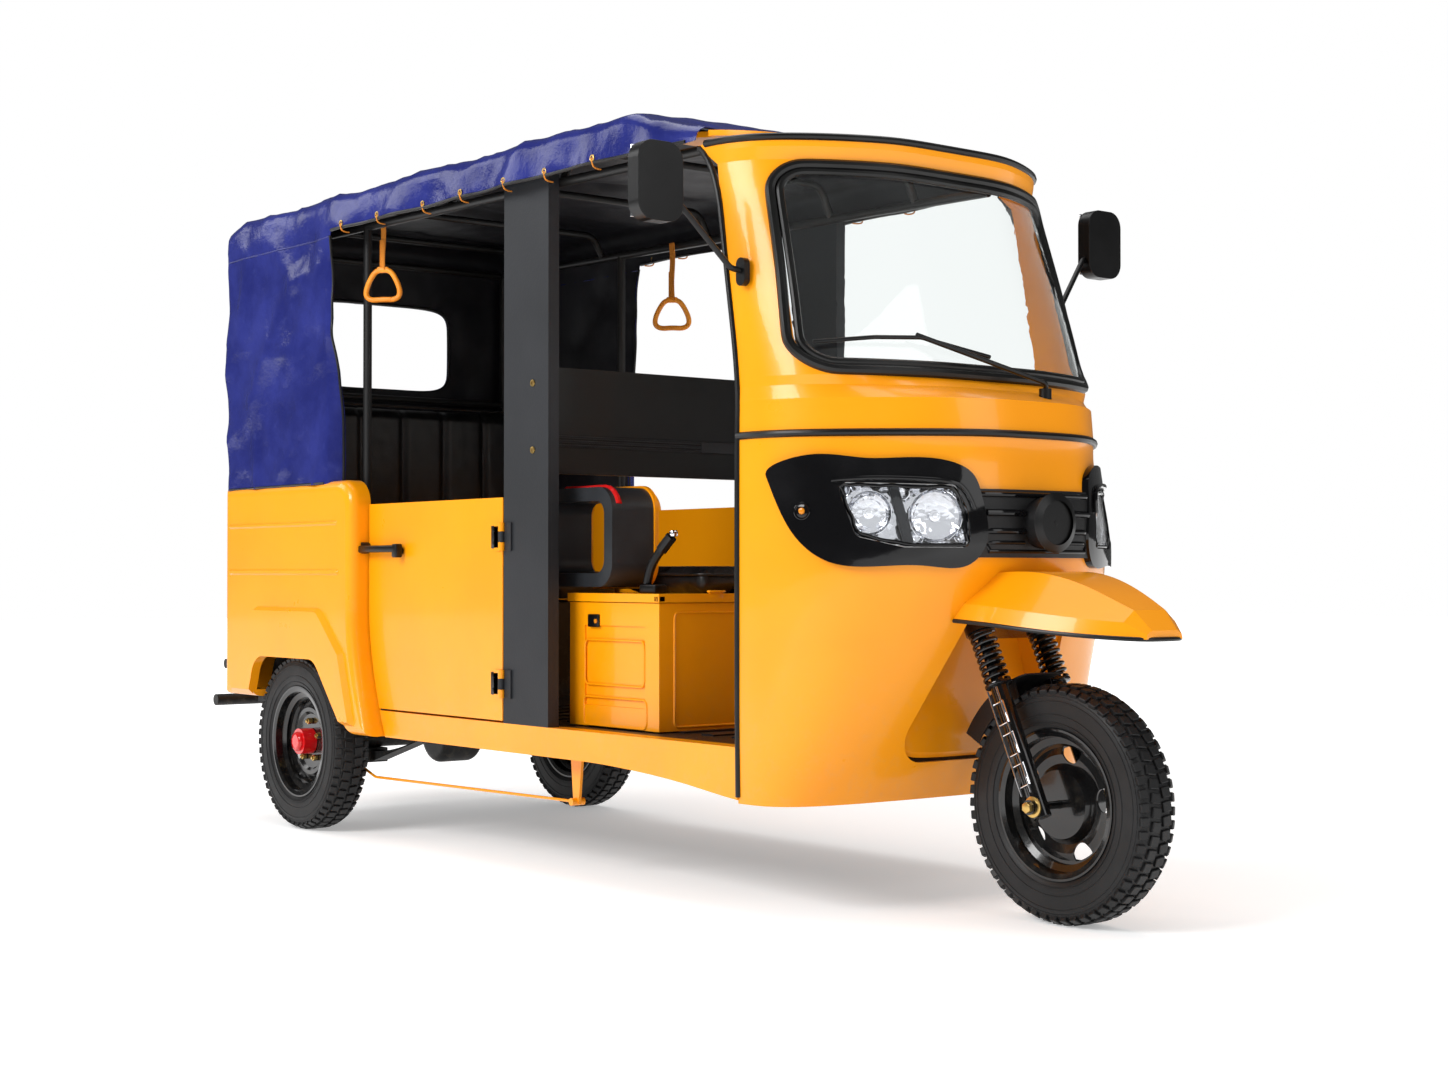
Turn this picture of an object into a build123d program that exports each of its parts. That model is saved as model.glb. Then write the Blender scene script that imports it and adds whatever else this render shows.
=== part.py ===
from build123d import *
import os
from math import cos, radians, sin, tan

os.makedirs("parts", exist_ok=True)

# Frame: X forward, Y to the vehicle's left, Z up, millimetres.  The origin is on the ground
# in the middle of the vehicle's length and width.

# ---------------------------------------------------------------- driving dimensions
AXLE_FRONT_X = 1515.0
AXLE_REAR_X = -1183.0
TYRE_R = 272.5
TYRE_WIDTH = 114.0
RIM_R = 166.0
REAR_WHEEL_Y = 508.0
AXLE_Z = TYRE_R

RAKE = 25.0
STEM_LENGTH = 905.0
FORK_HALF = 98.0

BODY_HALF = 522.0
QUARTER_HALF = 584.0
BODY_REAR_X = -1659.0
FLOOR_Z = 391.0
SILL_Z = 314.0
WAIST_Z = 1002.0
ROOF_Z = 1851.0
CANOPY_TOP_Z = 1968.0
SKIN = 14.0

PILLAR_REAR_X = -50.0
PILLAR_FRONT_X = 166.0
A_PILLAR_X = 960.0

NOSE_BOTTOM_Z = 260.0
STRIP_Z = 1116.0
SHELF_Z = 1196.0
SCREEN_LOW_Z = 1250.0
COWL_TOP_Z = 1822.0

CURTAIN_FRONT_X = -936.0
CURTAIN_LOW_Z = 1066.0
BUMPER_TUBE_R = 19.0
GAP = 6.0

STEER = Plane(
    origin=(AXLE_FRONT_X, 0, AXLE_Z),
    x_dir=(cos(radians(RAKE)), 0, sin(radians(RAKE))),
    z_dir=(-sin(radians(RAKE)), 0, cos(radians(RAKE))),
)

# Plane that faces the front corner, for the lamp outlines: local x runs forward and to the
# left, local y is up.
CORNER_ANGLE = 51.6
LAMP_PLANE = Plane(
    origin=(0, 0, 0),
    x_dir=(cos(radians(CORNER_ANGLE)), sin(radians(CORNER_ANGLE)), 0),
    z_dir=(sin(radians(CORNER_ANGLE)), -cos(radians(CORNER_ANGLE)), 0),
)

# Plan outlines of the front body, from the bottom up: height, nose X, how far the curve falls
# back at y = 218 and at y = 410, X where it meets the straight side, half width.
NOSE_LEVELS = [
    (NOSE_BOTTOM_Z, 1147, 4, 26, 985, 519),
    (380, 1213, 8, 50, 985, 521),
    (500, 1275, 14, 80, 980, 522),
    (645, 1345, 20, 112, 975, 522),
    (810, 1412, 28, 150, 978, 522),
    (960, 1424, 36, 176, 985, 522),
    (STRIP_Z, 1417, 40, 192, 990, 522),
]
SHELF_LEVELS = [
    (STRIP_Z, 1417, 40, 192, 990, 522),
    (SHELF_Z, 1404, 38, 186, 985, 521),
]
SHELF_TOP_LEVELS = [
    (SHELF_Z, 1404, 38, 186, 985, 521),
    (SCREEN_LOW_Z - 22, 1310, 22, 118, 975, 519),
    (SCREEN_LOW_Z, 1272, 14, 78, 965, 519),
]
SCREEN_LEVELS = [
    (SCREEN_LOW_Z, 1272, 14, 78, 965, 519),
    (1500, 1204, 16, 92, 900, 516),
    (1700, 1148, 18, 110, 840, 513),
    (1770, 1130, 18, 116, 815, 512),
]
VISOR_LEVELS = [
    (1770, 1130, 18, 116, 815, 512),
    (1800, 1140, 18, 118, 812, 514),
    (COWL_TOP_Z, 1142, 18, 118, 810, 515),
]


def save(name, part):
    """Label one finished piece and write it."""
    part.label = name
    export_step(part, "parts/" + name + ".step")


def block(x0, x1, y0, y1, z0, z1):
    """Add a box between two corners to the part being built."""
    with Locations(((x0 + x1) / 2, (y0 + y1) / 2, (z0 + z1) / 2)):
        Box(x1 - x0, y1 - y0, z1 - z0)


def cut_block(x0, x1, y0, y1, z0, z1):
    """Cut a box between two corners out of the part being built."""
    with Locations(((x0 + x1) / 2, (y0 + y1) / 2, (z0 + z1) / 2)):
        Box(x1 - x0, y1 - y0, z1 - z0, mode=Mode.SUBTRACT)


def tube(points, radius, bend, mode=Mode.ADD):
    """Sweep a round bar along straight runs joined by arcs."""
    with BuildLine() as path:
        if len(points) == 2:
            Line(*points)
        else:
            FilletPolyline(*points, radius=bend)
    with BuildSketch(Plane(origin=path.line @ 0, z_dir=path.line % 0)) as ring:
        Circle(radius)
    sweep(sections=ring.sketch, path=path.line, mode=mode)


def both_sides(name, part):
    """Write a right-hand piece and its mirror image on the left."""
    save(name + "_right", part)
    with BuildPart() as left:
        add(mirror(part, about=Plane.XZ))
    save(name + "_left", left.part)


def mirrored_pair(name, part):
    """Write a right-hand piece and its mirror image as one node."""
    with BuildPart() as pair:
        add(part)
        add(mirror(part, about=Plane.XZ))
    save(name, pair.part)


# ---------------------------------------------------------------- front body
def plan_face(level, grow, rear_x, lift=0.0):
    """One plan outline of the front body, grown outward by grow."""
    z, nose_x, fall_mid, fall_outer, side_x, half = level
    w = half + grow
    with BuildSketch(Plane.XY.offset(z + lift)) as face:
        with BuildLine():
            for side in (-1, 1):
                Spline(
                    (side_x, side * w),
                    (nose_x - fall_outer + 0.75 * grow, side * (410 + 0.65 * grow)),
                    (nose_x - fall_mid + grow, side * 218),
                    (nose_x + grow, 0),
                    tangents=[(1, 0), (0, -side)],
                )
            Polyline((side_x, w), (rear_x, w), (rear_x, -w), (side_x, -w))
        make_face()
    return face.sketch


def front_solid(levels, grow, rear_x, ends=0.0, ruled=False):
    """A solid through the plan outlines, its ends stretched up and down by ends."""
    last = len(levels) - 1
    with BuildPart() as solid:
        for i, level in enumerate(levels):
            lift = -ends if i == 0 else ends if i == last else 0.0
            add(plan_face(level, grow, rear_x, lift))
        loft(ruled=ruled)
    return solid.part


REAR_OPEN_X = 700.0
nose_outer = front_solid(NOSE_LEVELS, 0, A_PILLAR_X)
nose_inner = front_solid(NOSE_LEVELS, -SKIN, REAR_OPEN_X, ends=0.5)
lamp_skin_16 = front_solid(NOSE_LEVELS, 16, A_PILLAR_X)
lamp_skin_10 = front_solid(NOSE_LEVELS, 10, A_PILLAR_X)
lamp_skin_6 = front_solid(NOSE_LEVELS, 6, A_PILLAR_X)
lamp_skin_2 = front_solid(NOSE_LEVELS, 2, A_PILLAR_X)
LAMP_NEAR = 980.0


def lamp_prism(points, grow):
    """A bar through the front corner with a lamp outline, grown by grow."""
    with BuildPart() as prism:
        with BuildSketch(LAMP_PLANE.offset(LAMP_NEAR)):
            with BuildLine():
                Spline(*points, periodic=True)
            make_face()
            if grow:
                offset(amount=grow, mode=Mode.REPLACE)
        extrude(amount=700)
    return prism.part


def rounded_prism(points, radius, grow):
    """A bar through the front corner with a straight-sided outline and round corners."""
    with BuildPart() as prism:
        with BuildSketch(LAMP_PLANE.offset(LAMP_NEAR)) as face:
            Polygon(*points, align=None)
            fillet(face.vertices(), radius)
            if grow:
                offset(amount=grow, mode=Mode.REPLACE)
        extrude(amount=700)
    return prism.part


BEZEL_OUTLINE = [
    (252, 1018), (283, 938), (326, 868), (392, 822), (480, 811), (610, 813), (715, 818),
    (750, 862), (742, 965), (722, 1020), (660, 1052), (480, 1057), (300, 1056),
]
LENS_OUTLINE = [(415, 998), (676, 992), (704, 935), (708, 860), (560, 860), (455, 884)]

bezel_prism = lamp_prism(BEZEL_OUTLINE, 0)
lens_prism = rounded_prism(LENS_OUTLINE, 14, 0)
lens_hole = rounded_prism(LENS_OUTLINE, 14, 5)
reflector_prism = rounded_prism(LENS_OUTLINE, 14, 4)


def arch_prism(grow, x0, x1):
    """Bar along X with the outline of the front wheel opening."""
    with BuildPart() as prism:
        with BuildSketch(Plane.YZ.offset(x0)) as face:
            Polygon((-252, 352), (252, 352), (148, 738), (-148, 738), align=None)
            fillet(face.vertices().group_by(Axis.Y)[0], 70)
            fillet(face.vertices().group_by(Axis.Y)[-1], 60)
            if grow:
                offset(amount=grow, mode=Mode.REPLACE)
        extrude(amount=x1 - x0)
    return prism.part


WELL_REAR_X = 1188.0
WELL_SKIN = 7.0
arch_hole = arch_prism(0, WELL_REAR_X - 90, 1500)
well_core = arch_prism(-WELL_SKIN, WELL_REAR_X + WELL_SKIN, 1500)
well_block = arch_prism(0, WELL_REAR_X, 1500)

with BuildPart() as nose_shell:
    add(nose_outer)
    add(nose_inner, mode=Mode.SUBTRACT)
    add(arch_hole, mode=Mode.SUBTRACT)
    add(lens_hole, mode=Mode.SUBTRACT)
    add(mirror(lens_hole, about=Plane.XZ), mode=Mode.SUBTRACT)
save("nose_shell", nose_shell.part)

HEAD_TUBE_LOW = 478.0
HEAD_TUBE_HIGH = 640.0
HEAD_TUBE_R = 34.0
STEM_R = 21.0

with BuildPart() as front_wheel_well:
    add(well_block)
    add(well_core, mode=Mode.SUBTRACT)
    add(nose_inner, mode=Mode.INTERSECT)
    with BuildSketch(STEER.offset(300)):
        Circle(HEAD_TUBE_R + 12)
    extrude(amount=400, mode=Mode.SUBTRACT)
save("front_wheel_well", front_wheel_well.part)

with BuildPart() as bezel:
    add(lamp_skin_16)
    add(bezel_prism, mode=Mode.INTERSECT)
    add(nose_outer, mode=Mode.SUBTRACT)
    add(lens_hole, mode=Mode.SUBTRACT)
mirrored_pair("headlamp_bezels", bezel.part)

with BuildPart() as lens:
    add(lamp_skin_6)
    add(lens_prism, mode=Mode.INTERSECT)
    add(lamp_skin_2, mode=Mode.SUBTRACT)
mirrored_pair("headlamp_lenses", lens.part)

lamp_back = front_solid(NOSE_LEVELS, -48, REAR_OPEN_X)
lamp_mid = front_solid(NOSE_LEVELS, -40, REAR_OPEN_X)
lamp_core = rounded_prism(LENS_OUTLINE, 14, -3)
with BuildPart() as lamp_hollow:
    add(lamp_skin_16)
    add(lamp_core, mode=Mode.INTERSECT)
    add(lamp_mid, mode=Mode.SUBTRACT)
with BuildPart() as reflector:
    add(lamp_skin_2)
    add(reflector_prism, mode=Mode.INTERSECT)
    add(lamp_back, mode=Mode.SUBTRACT)
    add(lamp_hollow.part, mode=Mode.SUBTRACT)
mirrored_pair("headlamp_reflectors", reflector.part)

GRILLE_HALF = 196.0
HORN_X = 1434.0
HORN_Z = 912.0
with BuildPart() as grille_band:
    block(1300, 1500, -GRILLE_HALF, GRILLE_HALF, 832, 988)
with BuildPart() as grille:
    add(lamp_skin_10)
    add(grille_band.part, mode=Mode.INTERSECT)
    add(nose_outer, mode=Mode.SUBTRACT)
    add(bezel_prism, mode=Mode.SUBTRACT)
    add(mirror(bezel_prism, about=Plane.XZ), mode=Mode.SUBTRACT)
    with BuildSketch(Plane.YZ.offset(HORN_X)):
        with Locations((0, HORN_Z)):
            Circle(60)
    extrude(amount=40)
save("front_grille", grille.part)


# ---------------------------------------------------------------- windscreen frame
FRAME_REAR_X = 500.0
FRAME_LEVELS = SHELF_LEVELS + SHELF_TOP_LEVELS[1:] + SCREEN_LEVELS[1:] + VISOR_LEVELS[1:]


def screen_cut(grow):
    """Bar along X with the outline of the windscreen, wider at the bottom."""
    with BuildPart() as prism:
        with BuildSketch(Plane.YZ.offset(900)) as face:
            Polygon((-478, 1268), (478, 1268), (452, 1752), (-452, 1752), align=None)
            fillet(face.vertices(), 70)
            if grow:
                offset(amount=grow, mode=Mode.REPLACE)
        extrude(amount=600)
    return prism.part


def pillar_trim():
    """Wedge behind the sloping rear edge of the windscreen pillar."""
    with BuildPart() as wedge:
        with BuildSketch(Plane.XZ.offset(-700)):
            Polygon((400, STRIP_Z - 10), (A_PILLAR_X + 3, STRIP_Z - 10), (A_PILLAR_X, 1250),
                    (868, 1768), (790, COWL_TOP_Z + 10), (400, COWL_TOP_Z + 10), align=None)
        extrude(amount=1400)
    return wedge.part


ROOF_SKIN = 14.0
ROOF_HALF = 505.0
ROOF_STEP_X = 826.0
with BuildPart() as cab_roof:
    with BuildSketch(Plane.XZ.offset(-ROOF_HALF)):
        with BuildLine():
            Polyline((1140, COWL_TOP_Z - 9), (560, 1896), (560, 1896 - ROOF_SKIN),
                     (1140, COWL_TOP_Z - 9 - ROOF_SKIN), close=True)
        make_face()
    extrude(amount=2 * ROOF_HALF)
    add(front_solid([(1600,) + VISOR_LEVELS[1][1:], (2000,) + VISOR_LEVELS[1][1:]],
                    3 - SKIN, FRAME_REAR_X), mode=Mode.INTERSECT)
    for side in (-1, 1):
        cut_block(FRAME_REAR_X, ROOF_STEP_X, side * 504 - 26, side * 504 + 26, 1700, 2000)

with BuildPart() as windscreen_frame:
    add(front_solid(FRAME_LEVELS, 0, FRAME_REAR_X, ruled=True))
    add(front_solid(FRAME_LEVELS, -SKIN, FRAME_REAR_X - 20, ends=0.5, ruled=True),
        mode=Mode.SUBTRACT)
    add(screen_cut(0), mode=Mode.SUBTRACT)
    add(pillar_trim(), mode=Mode.SUBTRACT)
    add(cab_roof.part)
save("windscreen_frame", windscreen_frame.part)

with BuildPart() as windscreen_glass:
    add(front_solid(SCREEN_LEVELS, -3, FRAME_REAR_X))
    add(front_solid(SCREEN_LEVELS, -9, FRAME_REAR_X - 100, ends=0.5), mode=Mode.SUBTRACT)
    add(screen_cut(-0.3), mode=Mode.INTERSECT)
save("windscreen_glass", windscreen_glass.part)


DASH_HALF = 330.0
with BuildPart() as dashboard:
    with BuildSketch(Plane.XZ.offset(-DASH_HALF)):
        Polygon((1215, 1186), (1215, 1120), (1250, 1050), (1262, 1050), (1262, 1186), align=None)
    extrude(amount=2 * DASH_HALF)
    with Locations((1226, 0, 1146)):
        Box(40, 190, 90)
    fillet(dashboard.edges().filter_by(Axis.Y).group_by(Axis.X)[0], 8)
save("dashboard", dashboard.part)


# ---------------------------------------------------------------- front peak over the wheel
def peak_face(level, drop):
    """One cross section of the front peak; drop makes the inner surface."""
    x, half, low, crease_half, crease, top_half, top = level
    with BuildSketch(Plane.YZ.offset(x)) as face:
        Polygon((-half + drop, low - 2 * drop), (-crease_half + drop, crease - drop),
                (-top_half, top - drop), (top_half, top - drop),
                (crease_half - drop, crease - drop), (half - drop, low - 2 * drop), align=None)
    return face.sketch


def peak_solid(levels, drop, ruled):
    """A solid through the cross sections of the front peak."""
    with BuildPart() as solid:
        for level in levels:
            add(peak_face(level, drop))
        loft(ruled=ruled)
    return solid.part


PEAK_LEVELS = [
    (1330, 205, 690, 190, 728, 120, 792),
    (1440, 200, 683, 184, 722, 108, 800),
    (1560, 184, 671, 170, 710, 88, 790),
    (1670, 146, 661, 134, 698, 70, 754),
    (1752, 94, 655, 86, 690, 52, 716),
]
PEAK_TIP = [PEAK_LEVELS[-1], (1794, 60, 653, 57, 664, 42, 672)]

with BuildPart() as front_peak:
    add(peak_solid(PEAK_LEVELS, 0, False))
    add(peak_solid(PEAK_TIP, 0, True))
    add(peak_solid(PEAK_LEVELS, 5, False), mode=Mode.SUBTRACT)
    add(nose_outer, mode=Mode.SUBTRACT)
save("front_peak", front_peak.part)


# ---------------------------------------------------------------- chassis and floor
RAIL_Y = 300.0
RAIL_LOW = 322.0
RAIL_HIGH = FLOOR_Z - GAP - 12

HEAD_BASE = STEER.from_local_coords((0, 0, (HEAD_TUBE_LOW + HEAD_TUBE_HIGH) / 2))
with BuildPart() as steering_head:
    with BuildSketch(STEER.offset(HEAD_TUBE_LOW)):
        Circle(HEAD_TUBE_R)
        Circle(STEM_R + 0.4, mode=Mode.SUBTRACT)
    extrude(amount=HEAD_TUBE_HIGH - HEAD_TUBE_LOW)
    for side in (-1, 1):
        tube([(HEAD_BASE.X - 26, side * 14, HEAD_BASE.Z + 24), (1125, side * 150, 772),
              (1130, side * RAIL_Y, RAIL_LOW + 20)], 17, 60)
        block(1060, 1148, side * RAIL_Y - 20, side * RAIL_Y + 20, RAIL_LOW, RAIL_LOW + 40)
    with BuildSketch(STEER.offset(HEAD_TUBE_LOW - 10)):
        Circle(STEM_R + 0.4)
    extrude(amount=HEAD_TUBE_HIGH - HEAD_TUBE_LOW + 20, mode=Mode.SUBTRACT)

with BuildPart() as frame_rails:
    for side in (-1, 1):
        y = side * RAIL_Y
        block(-1640, 1060, y - 20, y + 20, RAIL_LOW, RAIL_HIGH)
    for x in (-1620, -820, -30, 560, 1040):
        block(x - 20, x + 20, -RAIL_Y, RAIL_Y, RAIL_LOW + 6, RAIL_HIGH - 2)
    add(steering_head.part)
save("frame_rails", frame_rails.part)

with BuildPart() as floor_pan:
    block(-1640, 1100, -BODY_HALF + 52, BODY_HALF - 52, RAIL_HIGH, FLOOR_Z)
    for x in range(-560, 1000, 120):
        block(x - 25, x + 25, -360, 360, FLOOR_Z, FLOOR_Z + 4)
    for side in (-1, 1):
        cut_block(AXLE_REAR_X - 290, AXLE_REAR_X + 290, side * 470 - 35, side * 470 + 35,
                  RAIL_HIGH - 10, FLOOR_Z + 10)
save("floor_pan", floor_pan.part)

with BuildPart() as sill:
    with BuildSketch(Plane.XZ.offset(BODY_HALF - 52)):
        with BuildLine():
            Polyline((-697, SILL_Z), (-722, FLOOR_Z - 22), (-730, FLOOR_Z),
                     (A_PILLAR_X, FLOOR_Z), (A_PILLAR_X, 268))
            Spline((A_PILLAR_X, 268), (780, 288), (520, 308), (330, SILL_Z),
                   tangents=[(-1, 0.08), (-1, 0)])
            Line((330, SILL_Z), (-697, SILL_Z))
        make_face()
    extrude(amount=52)
mirrored_pair("side_sills", sill.part)


with BuildPart() as engine_block:
    block(150, 470, -170, 170, FLOOR_Z + 5, 690)
save("engine_block", engine_block.part)


# ---------------------------------------------------------------- rear axle and springs
AXLE_TUBE_R = 30.0
HUB_FACE_Y = REAR_WHEEL_Y - 34

with BuildPart() as rear_axle:
    with BuildSketch(Plane.XZ.offset(-HUB_FACE_Y + 16)):
        with Locations((AXLE_REAR_X, AXLE_Z)):
            Circle(AXLE_TUBE_R)
    extrude(amount=2 * (HUB_FACE_Y - 16))
    with BuildSketch(Plane.XZ.offset(-72)):
        with Locations((AXLE_REAR_X, AXLE_Z)):
            Circle(92)
    extrude(amount=144)
    fillet(rear_axle.edges().filter_by(GeomType.CIRCLE).group_by(SortBy.RADIUS)[-1], 26)
    for side in (-1, 1):
        with BuildSketch(Plane.XZ.offset(side * (HUB_FACE_Y - 30) - 7)):
            with Locations((AXLE_REAR_X, AXLE_Z)):
                Circle(96)
        extrude(amount=14)
save("rear_axle", rear_axle.part)

SPRING_Y = 300.0
LEAF_WIDTH = 50.0
with BuildPart() as leaf_springs:
    for side in (-1, 1):
        with BuildSketch(Plane.XZ.offset(side * SPRING_Y - LEAF_WIDTH / 2)):
            with BuildLine():
                ThreePointArc((AXLE_REAR_X - 370, 300), (AXLE_REAR_X, 232),
                              (AXLE_REAR_X + 370, 300))
                Line((AXLE_REAR_X + 370, 300), (AXLE_REAR_X + 370, 292))
                Line((AXLE_REAR_X + 370, 292), (AXLE_REAR_X + 60, 204))
                Line((AXLE_REAR_X + 60, 204), (AXLE_REAR_X - 60, 204))
                Line((AXLE_REAR_X - 60, 204), (AXLE_REAR_X - 370, 292))
                Line((AXLE_REAR_X - 370, 292), (AXLE_REAR_X - 370, 300))
            make_face()
            for end in (-1, 1):
                with Locations((AXLE_REAR_X + end * 370, 300)):
                    Circle(20)
        extrude(amount=LEAF_WIDTH)
    for side in (-1, 1):
        block(AXLE_REAR_X - 45, AXLE_REAR_X + 45, side * SPRING_Y - 34, side * SPRING_Y + 34,
              198, AXLE_Z - AXLE_TUBE_R)
save("leaf_springs", leaf_springs.part)

with BuildPart() as propeller_shaft:
    tube([(-20, 0, RAIL_LOW - 26), (AXLE_REAR_X + 93, 0, AXLE_Z + 4)], 22, 0)
    with Locations((-30, 0, RAIL_LOW - 24)):
        Box(60, 84, 58)
save("propeller_shaft", propeller_shaft.part)

CRANK_Y = 452.0
with BuildPart() as brake_linkage:
    with BuildSketch(Plane.XZ.offset(CRANK_Y - 4)):
        Polygon((176, SILL_Z - 2), (226, SILL_Z - 2), (212, 190), (188, 190), align=None)
    extrude(amount=8)
    block(176, 226, -CRANK_Y - 14, -CRANK_Y + 14, SILL_Z - 8, SILL_Z)
    block(176, 226, -CRANK_Y - 10, -CRANK_Y + 10, SILL_Z - 1, SILL_Z + 20)
    with BuildSketch(Plane.XZ.offset(CRANK_Y - 20)):
        with Locations((200, 196)):
            Circle(10)
    extrude(amount=40)
    tube([(186, -CRANK_Y + 14, 193), (-905, -CRANK_Y + 14, 176), (-1000, -CRANK_Y + 14, 205),
          (AXLE_REAR_X + 98, -CRANK_Y + 18, 236)], 4.0, 60)
save("brake_linkage", brake_linkage.part)


# ---------------------------------------------------------------- rear bodywork
QUARTER_FRONT_X = -801.0
QUARTER_TOP_Z = 1076.0
QUARTER_LOW_Z = 402.0
QUARTER_EDGE_R = 30.0
ARCH_RADIUS = 78.0


def arch_cut(grow, y0, depth):
    """Bar across the body with the outline of the rear wheel opening."""
    with BuildPart() as prism:
        with BuildSketch(Plane.XZ.offset(y0)) as face:
            Polygon((-1512, 240), (-1405, 534), (-1005, 534), (-742, 240), align=None)
            fillet(face.vertices().group_by(Axis.Y)[-1], ARCH_RADIUS)
            if grow:
                offset(amount=grow, mode=Mode.REPLACE)
        extrude(amount=depth)
    return prism.part


def quarter_outline(inset, y):
    """Side view of a rear quarter, its front edge leaning round the wheel opening."""
    front = QUARTER_FRONT_X - inset
    rear = BODY_REAR_X + inset
    top = QUARTER_TOP_Z - inset
    low = QUARTER_LOW_Z + inset
    front_low = SILL_Z + 2 + inset
    corner = 74 - inset / 2
    with BuildSketch(Plane.XZ.offset(y)) as face:
        with BuildLine():
            Polyline((-1200, front_low), (-1200, low), (rear, low), (rear, top),
                     (front - corner, top))
            ThreePointArc((front - corner, top), (front - 0.293 * corner, top - 0.293 * corner),
                          (front, top - corner))
            Line((front, top - corner), (front, 690))
            Bezier((front, 690), (front, 540), (front + 96, front_low))
            Line((front + 96, front_low), (-1200, front_low))
        make_face()
    return face.sketch


def quarter_solid():
    """The bulged outside shape of a rear quarter, with a rounded outer edge."""
    straight = QUARTER_HALF - QUARTER_EDGE_R
    with BuildPart() as solid:
        for y in (BODY_HALF - 8, BODY_HALF + 8, straight):
            add(quarter_outline(0, y))
        for turn in (30, 60, 90):
            inset = QUARTER_EDGE_R * (1 - cos(radians(turn)))
            add(quarter_outline(inset, straight + QUARTER_EDGE_R * sin(radians(turn))))
        loft()
    return solid.part


BULGE = 15.0
PANEL_RIBS = ((-1620, -880, 938, 958), (-1620, -868, 788, 812))


def arch_bulge():
    """The raised flare round the wheel opening."""
    with BuildPart() as bulge:
        with BuildSketch(Plane.XZ.offset(QUARTER_HALF - 4)) as face:
            Polygon((-1600, QUARTER_LOW_Z + 8), (-1510, 560), (-1440, 694), (-985, 694),
                    (-840, 560), (-768, 340), (-1100, 340), (-1100, QUARTER_LOW_Z + 8),
                    align=None)
            fillet(face.vertices().sort_by(Axis.Y)[-2:], 60)
        extrude(amount=BULGE + 4, taper=38)
    return bulge.part


def panel_rib(x0, x1, z0, z1):
    """A pressed rib along the upper side panel."""
    with BuildPart() as rib:
        with BuildSketch(Plane.XZ.offset(QUARTER_HALF - 3)):
            with Locations(((x0 + x1) / 2, (z0 + z1) / 2)):
                SlotOverall(x1 - x0, z1 - z0)
        extrude(amount=9, taper=40)
    return rib.part


with BuildPart() as quarter:
    add(quarter_solid())
    wall = SKIN + 8
    with BuildSketch(Plane.XZ.offset(BODY_HALF - 9)):
        Polygon((BODY_REAR_X + wall, QUARTER_LOW_Z + wall),
                (BODY_REAR_X + wall, QUARTER_TOP_Z - wall),
                (QUARTER_FRONT_X - 74, QUARTER_TOP_Z - wall),
                (QUARTER_FRONT_X - wall, QUARTER_TOP_Z - 84),
                (QUARTER_FRONT_X - wall, 660), (QUARTER_FRONT_X + 44, SILL_Z + wall),
                (-1200, SILL_Z + wall), (-1200, QUARTER_LOW_Z + wall), align=None)
    extrude(amount=QUARTER_HALF - BODY_HALF + 9 - SKIN, mode=Mode.SUBTRACT)
    add(arch_bulge())
    for rib in PANEL_RIBS:
        add(panel_rib(*rib))
    add(arch_cut(0, 400, 300), mode=Mode.SUBTRACT)
both_sides("rear_quarter", quarter.part)

with BuildPart() as rear_panel:
    half = BODY_HALF - 9
    block(BODY_REAR_X, BODY_REAR_X + 16, -half, half, 402, QUARTER_TOP_Z)
    block(BODY_REAR_X - 6, BODY_REAR_X, -330, 330, 560, 980)
    for side in (-1, 1):
        y = sorted((side * half, side * (half - 4)))
        block(BODY_REAR_X + 10, QUARTER_FRONT_X - 30, y[0], y[1], 620, 1050)
save("rear_panel", rear_panel.part)

with BuildPart() as tail_lamp:
    block(BODY_REAR_X - 24, BODY_REAR_X, -480, -372, 700, 900)
    fillet(tail_lamp.edges().group_by(Axis.X)[0], 8)
mirrored_pair("tail_lamps", tail_lamp.part)

WHEELHOUSE_INNER_Y = 440.0
WHEELHOUSE_WALL = 6.0
with BuildPart() as wheelhouse:
    depth = BODY_HALF - 9 - WHEELHOUSE_INNER_Y
    add(arch_cut(24, WHEELHOUSE_INNER_Y, depth))
    add(arch_cut(24 - WHEELHOUSE_WALL, WHEELHOUSE_INNER_Y + WHEELHOUSE_WALL, depth),
        mode=Mode.SUBTRACT)
    cut_block(-1800, -600, -600, -400, 100, FLOOR_Z + 0.5)
mirrored_pair("wheelhouses", wheelhouse.part)

BUMPER_HALF = 540.0
LOW_TUBE_X = -1815.0
HIGH_TUBE_X = -1738.0
with BuildPart() as rear_bumper:
    tube([(LOW_TUBE_X, -BUMPER_HALF, 372), (LOW_TUBE_X, BUMPER_HALF, 372)], BUMPER_TUBE_R, 0)
    tube([(HIGH_TUBE_X, -BUMPER_HALF, 496), (HIGH_TUBE_X, BUMPER_HALF, 496)],
         BUMPER_TUBE_R - 3, 0)
    for side in (-1, 1):
        y = side * RAIL_Y
        block(-1812, -1640, y - 16, y + 16, 356, 376)
        with BuildSketch(Plane.XZ.offset(-y - 8)):
            Polygon((-1815, 366), (-1738, 496), (-1722, 496), (-1760, 366), align=None)
        extrude(amount=16)
save("rear_bumper", rear_bumper.part)


# ---------------------------------------------------------------- doors and pillars
DOOR_THICK = 26.0
DOOR_REAR_X = QUARTER_FRONT_X + GAP
DOOR_LOW_X = DOOR_REAR_X + 62
HINGE_Y = -(BODY_HALF + 9)
HINGE_X = PILLAR_REAR_X + 2
HINGE_HEIGHTS = (497, 895)
KNUCKLE_R = 9.0

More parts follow.
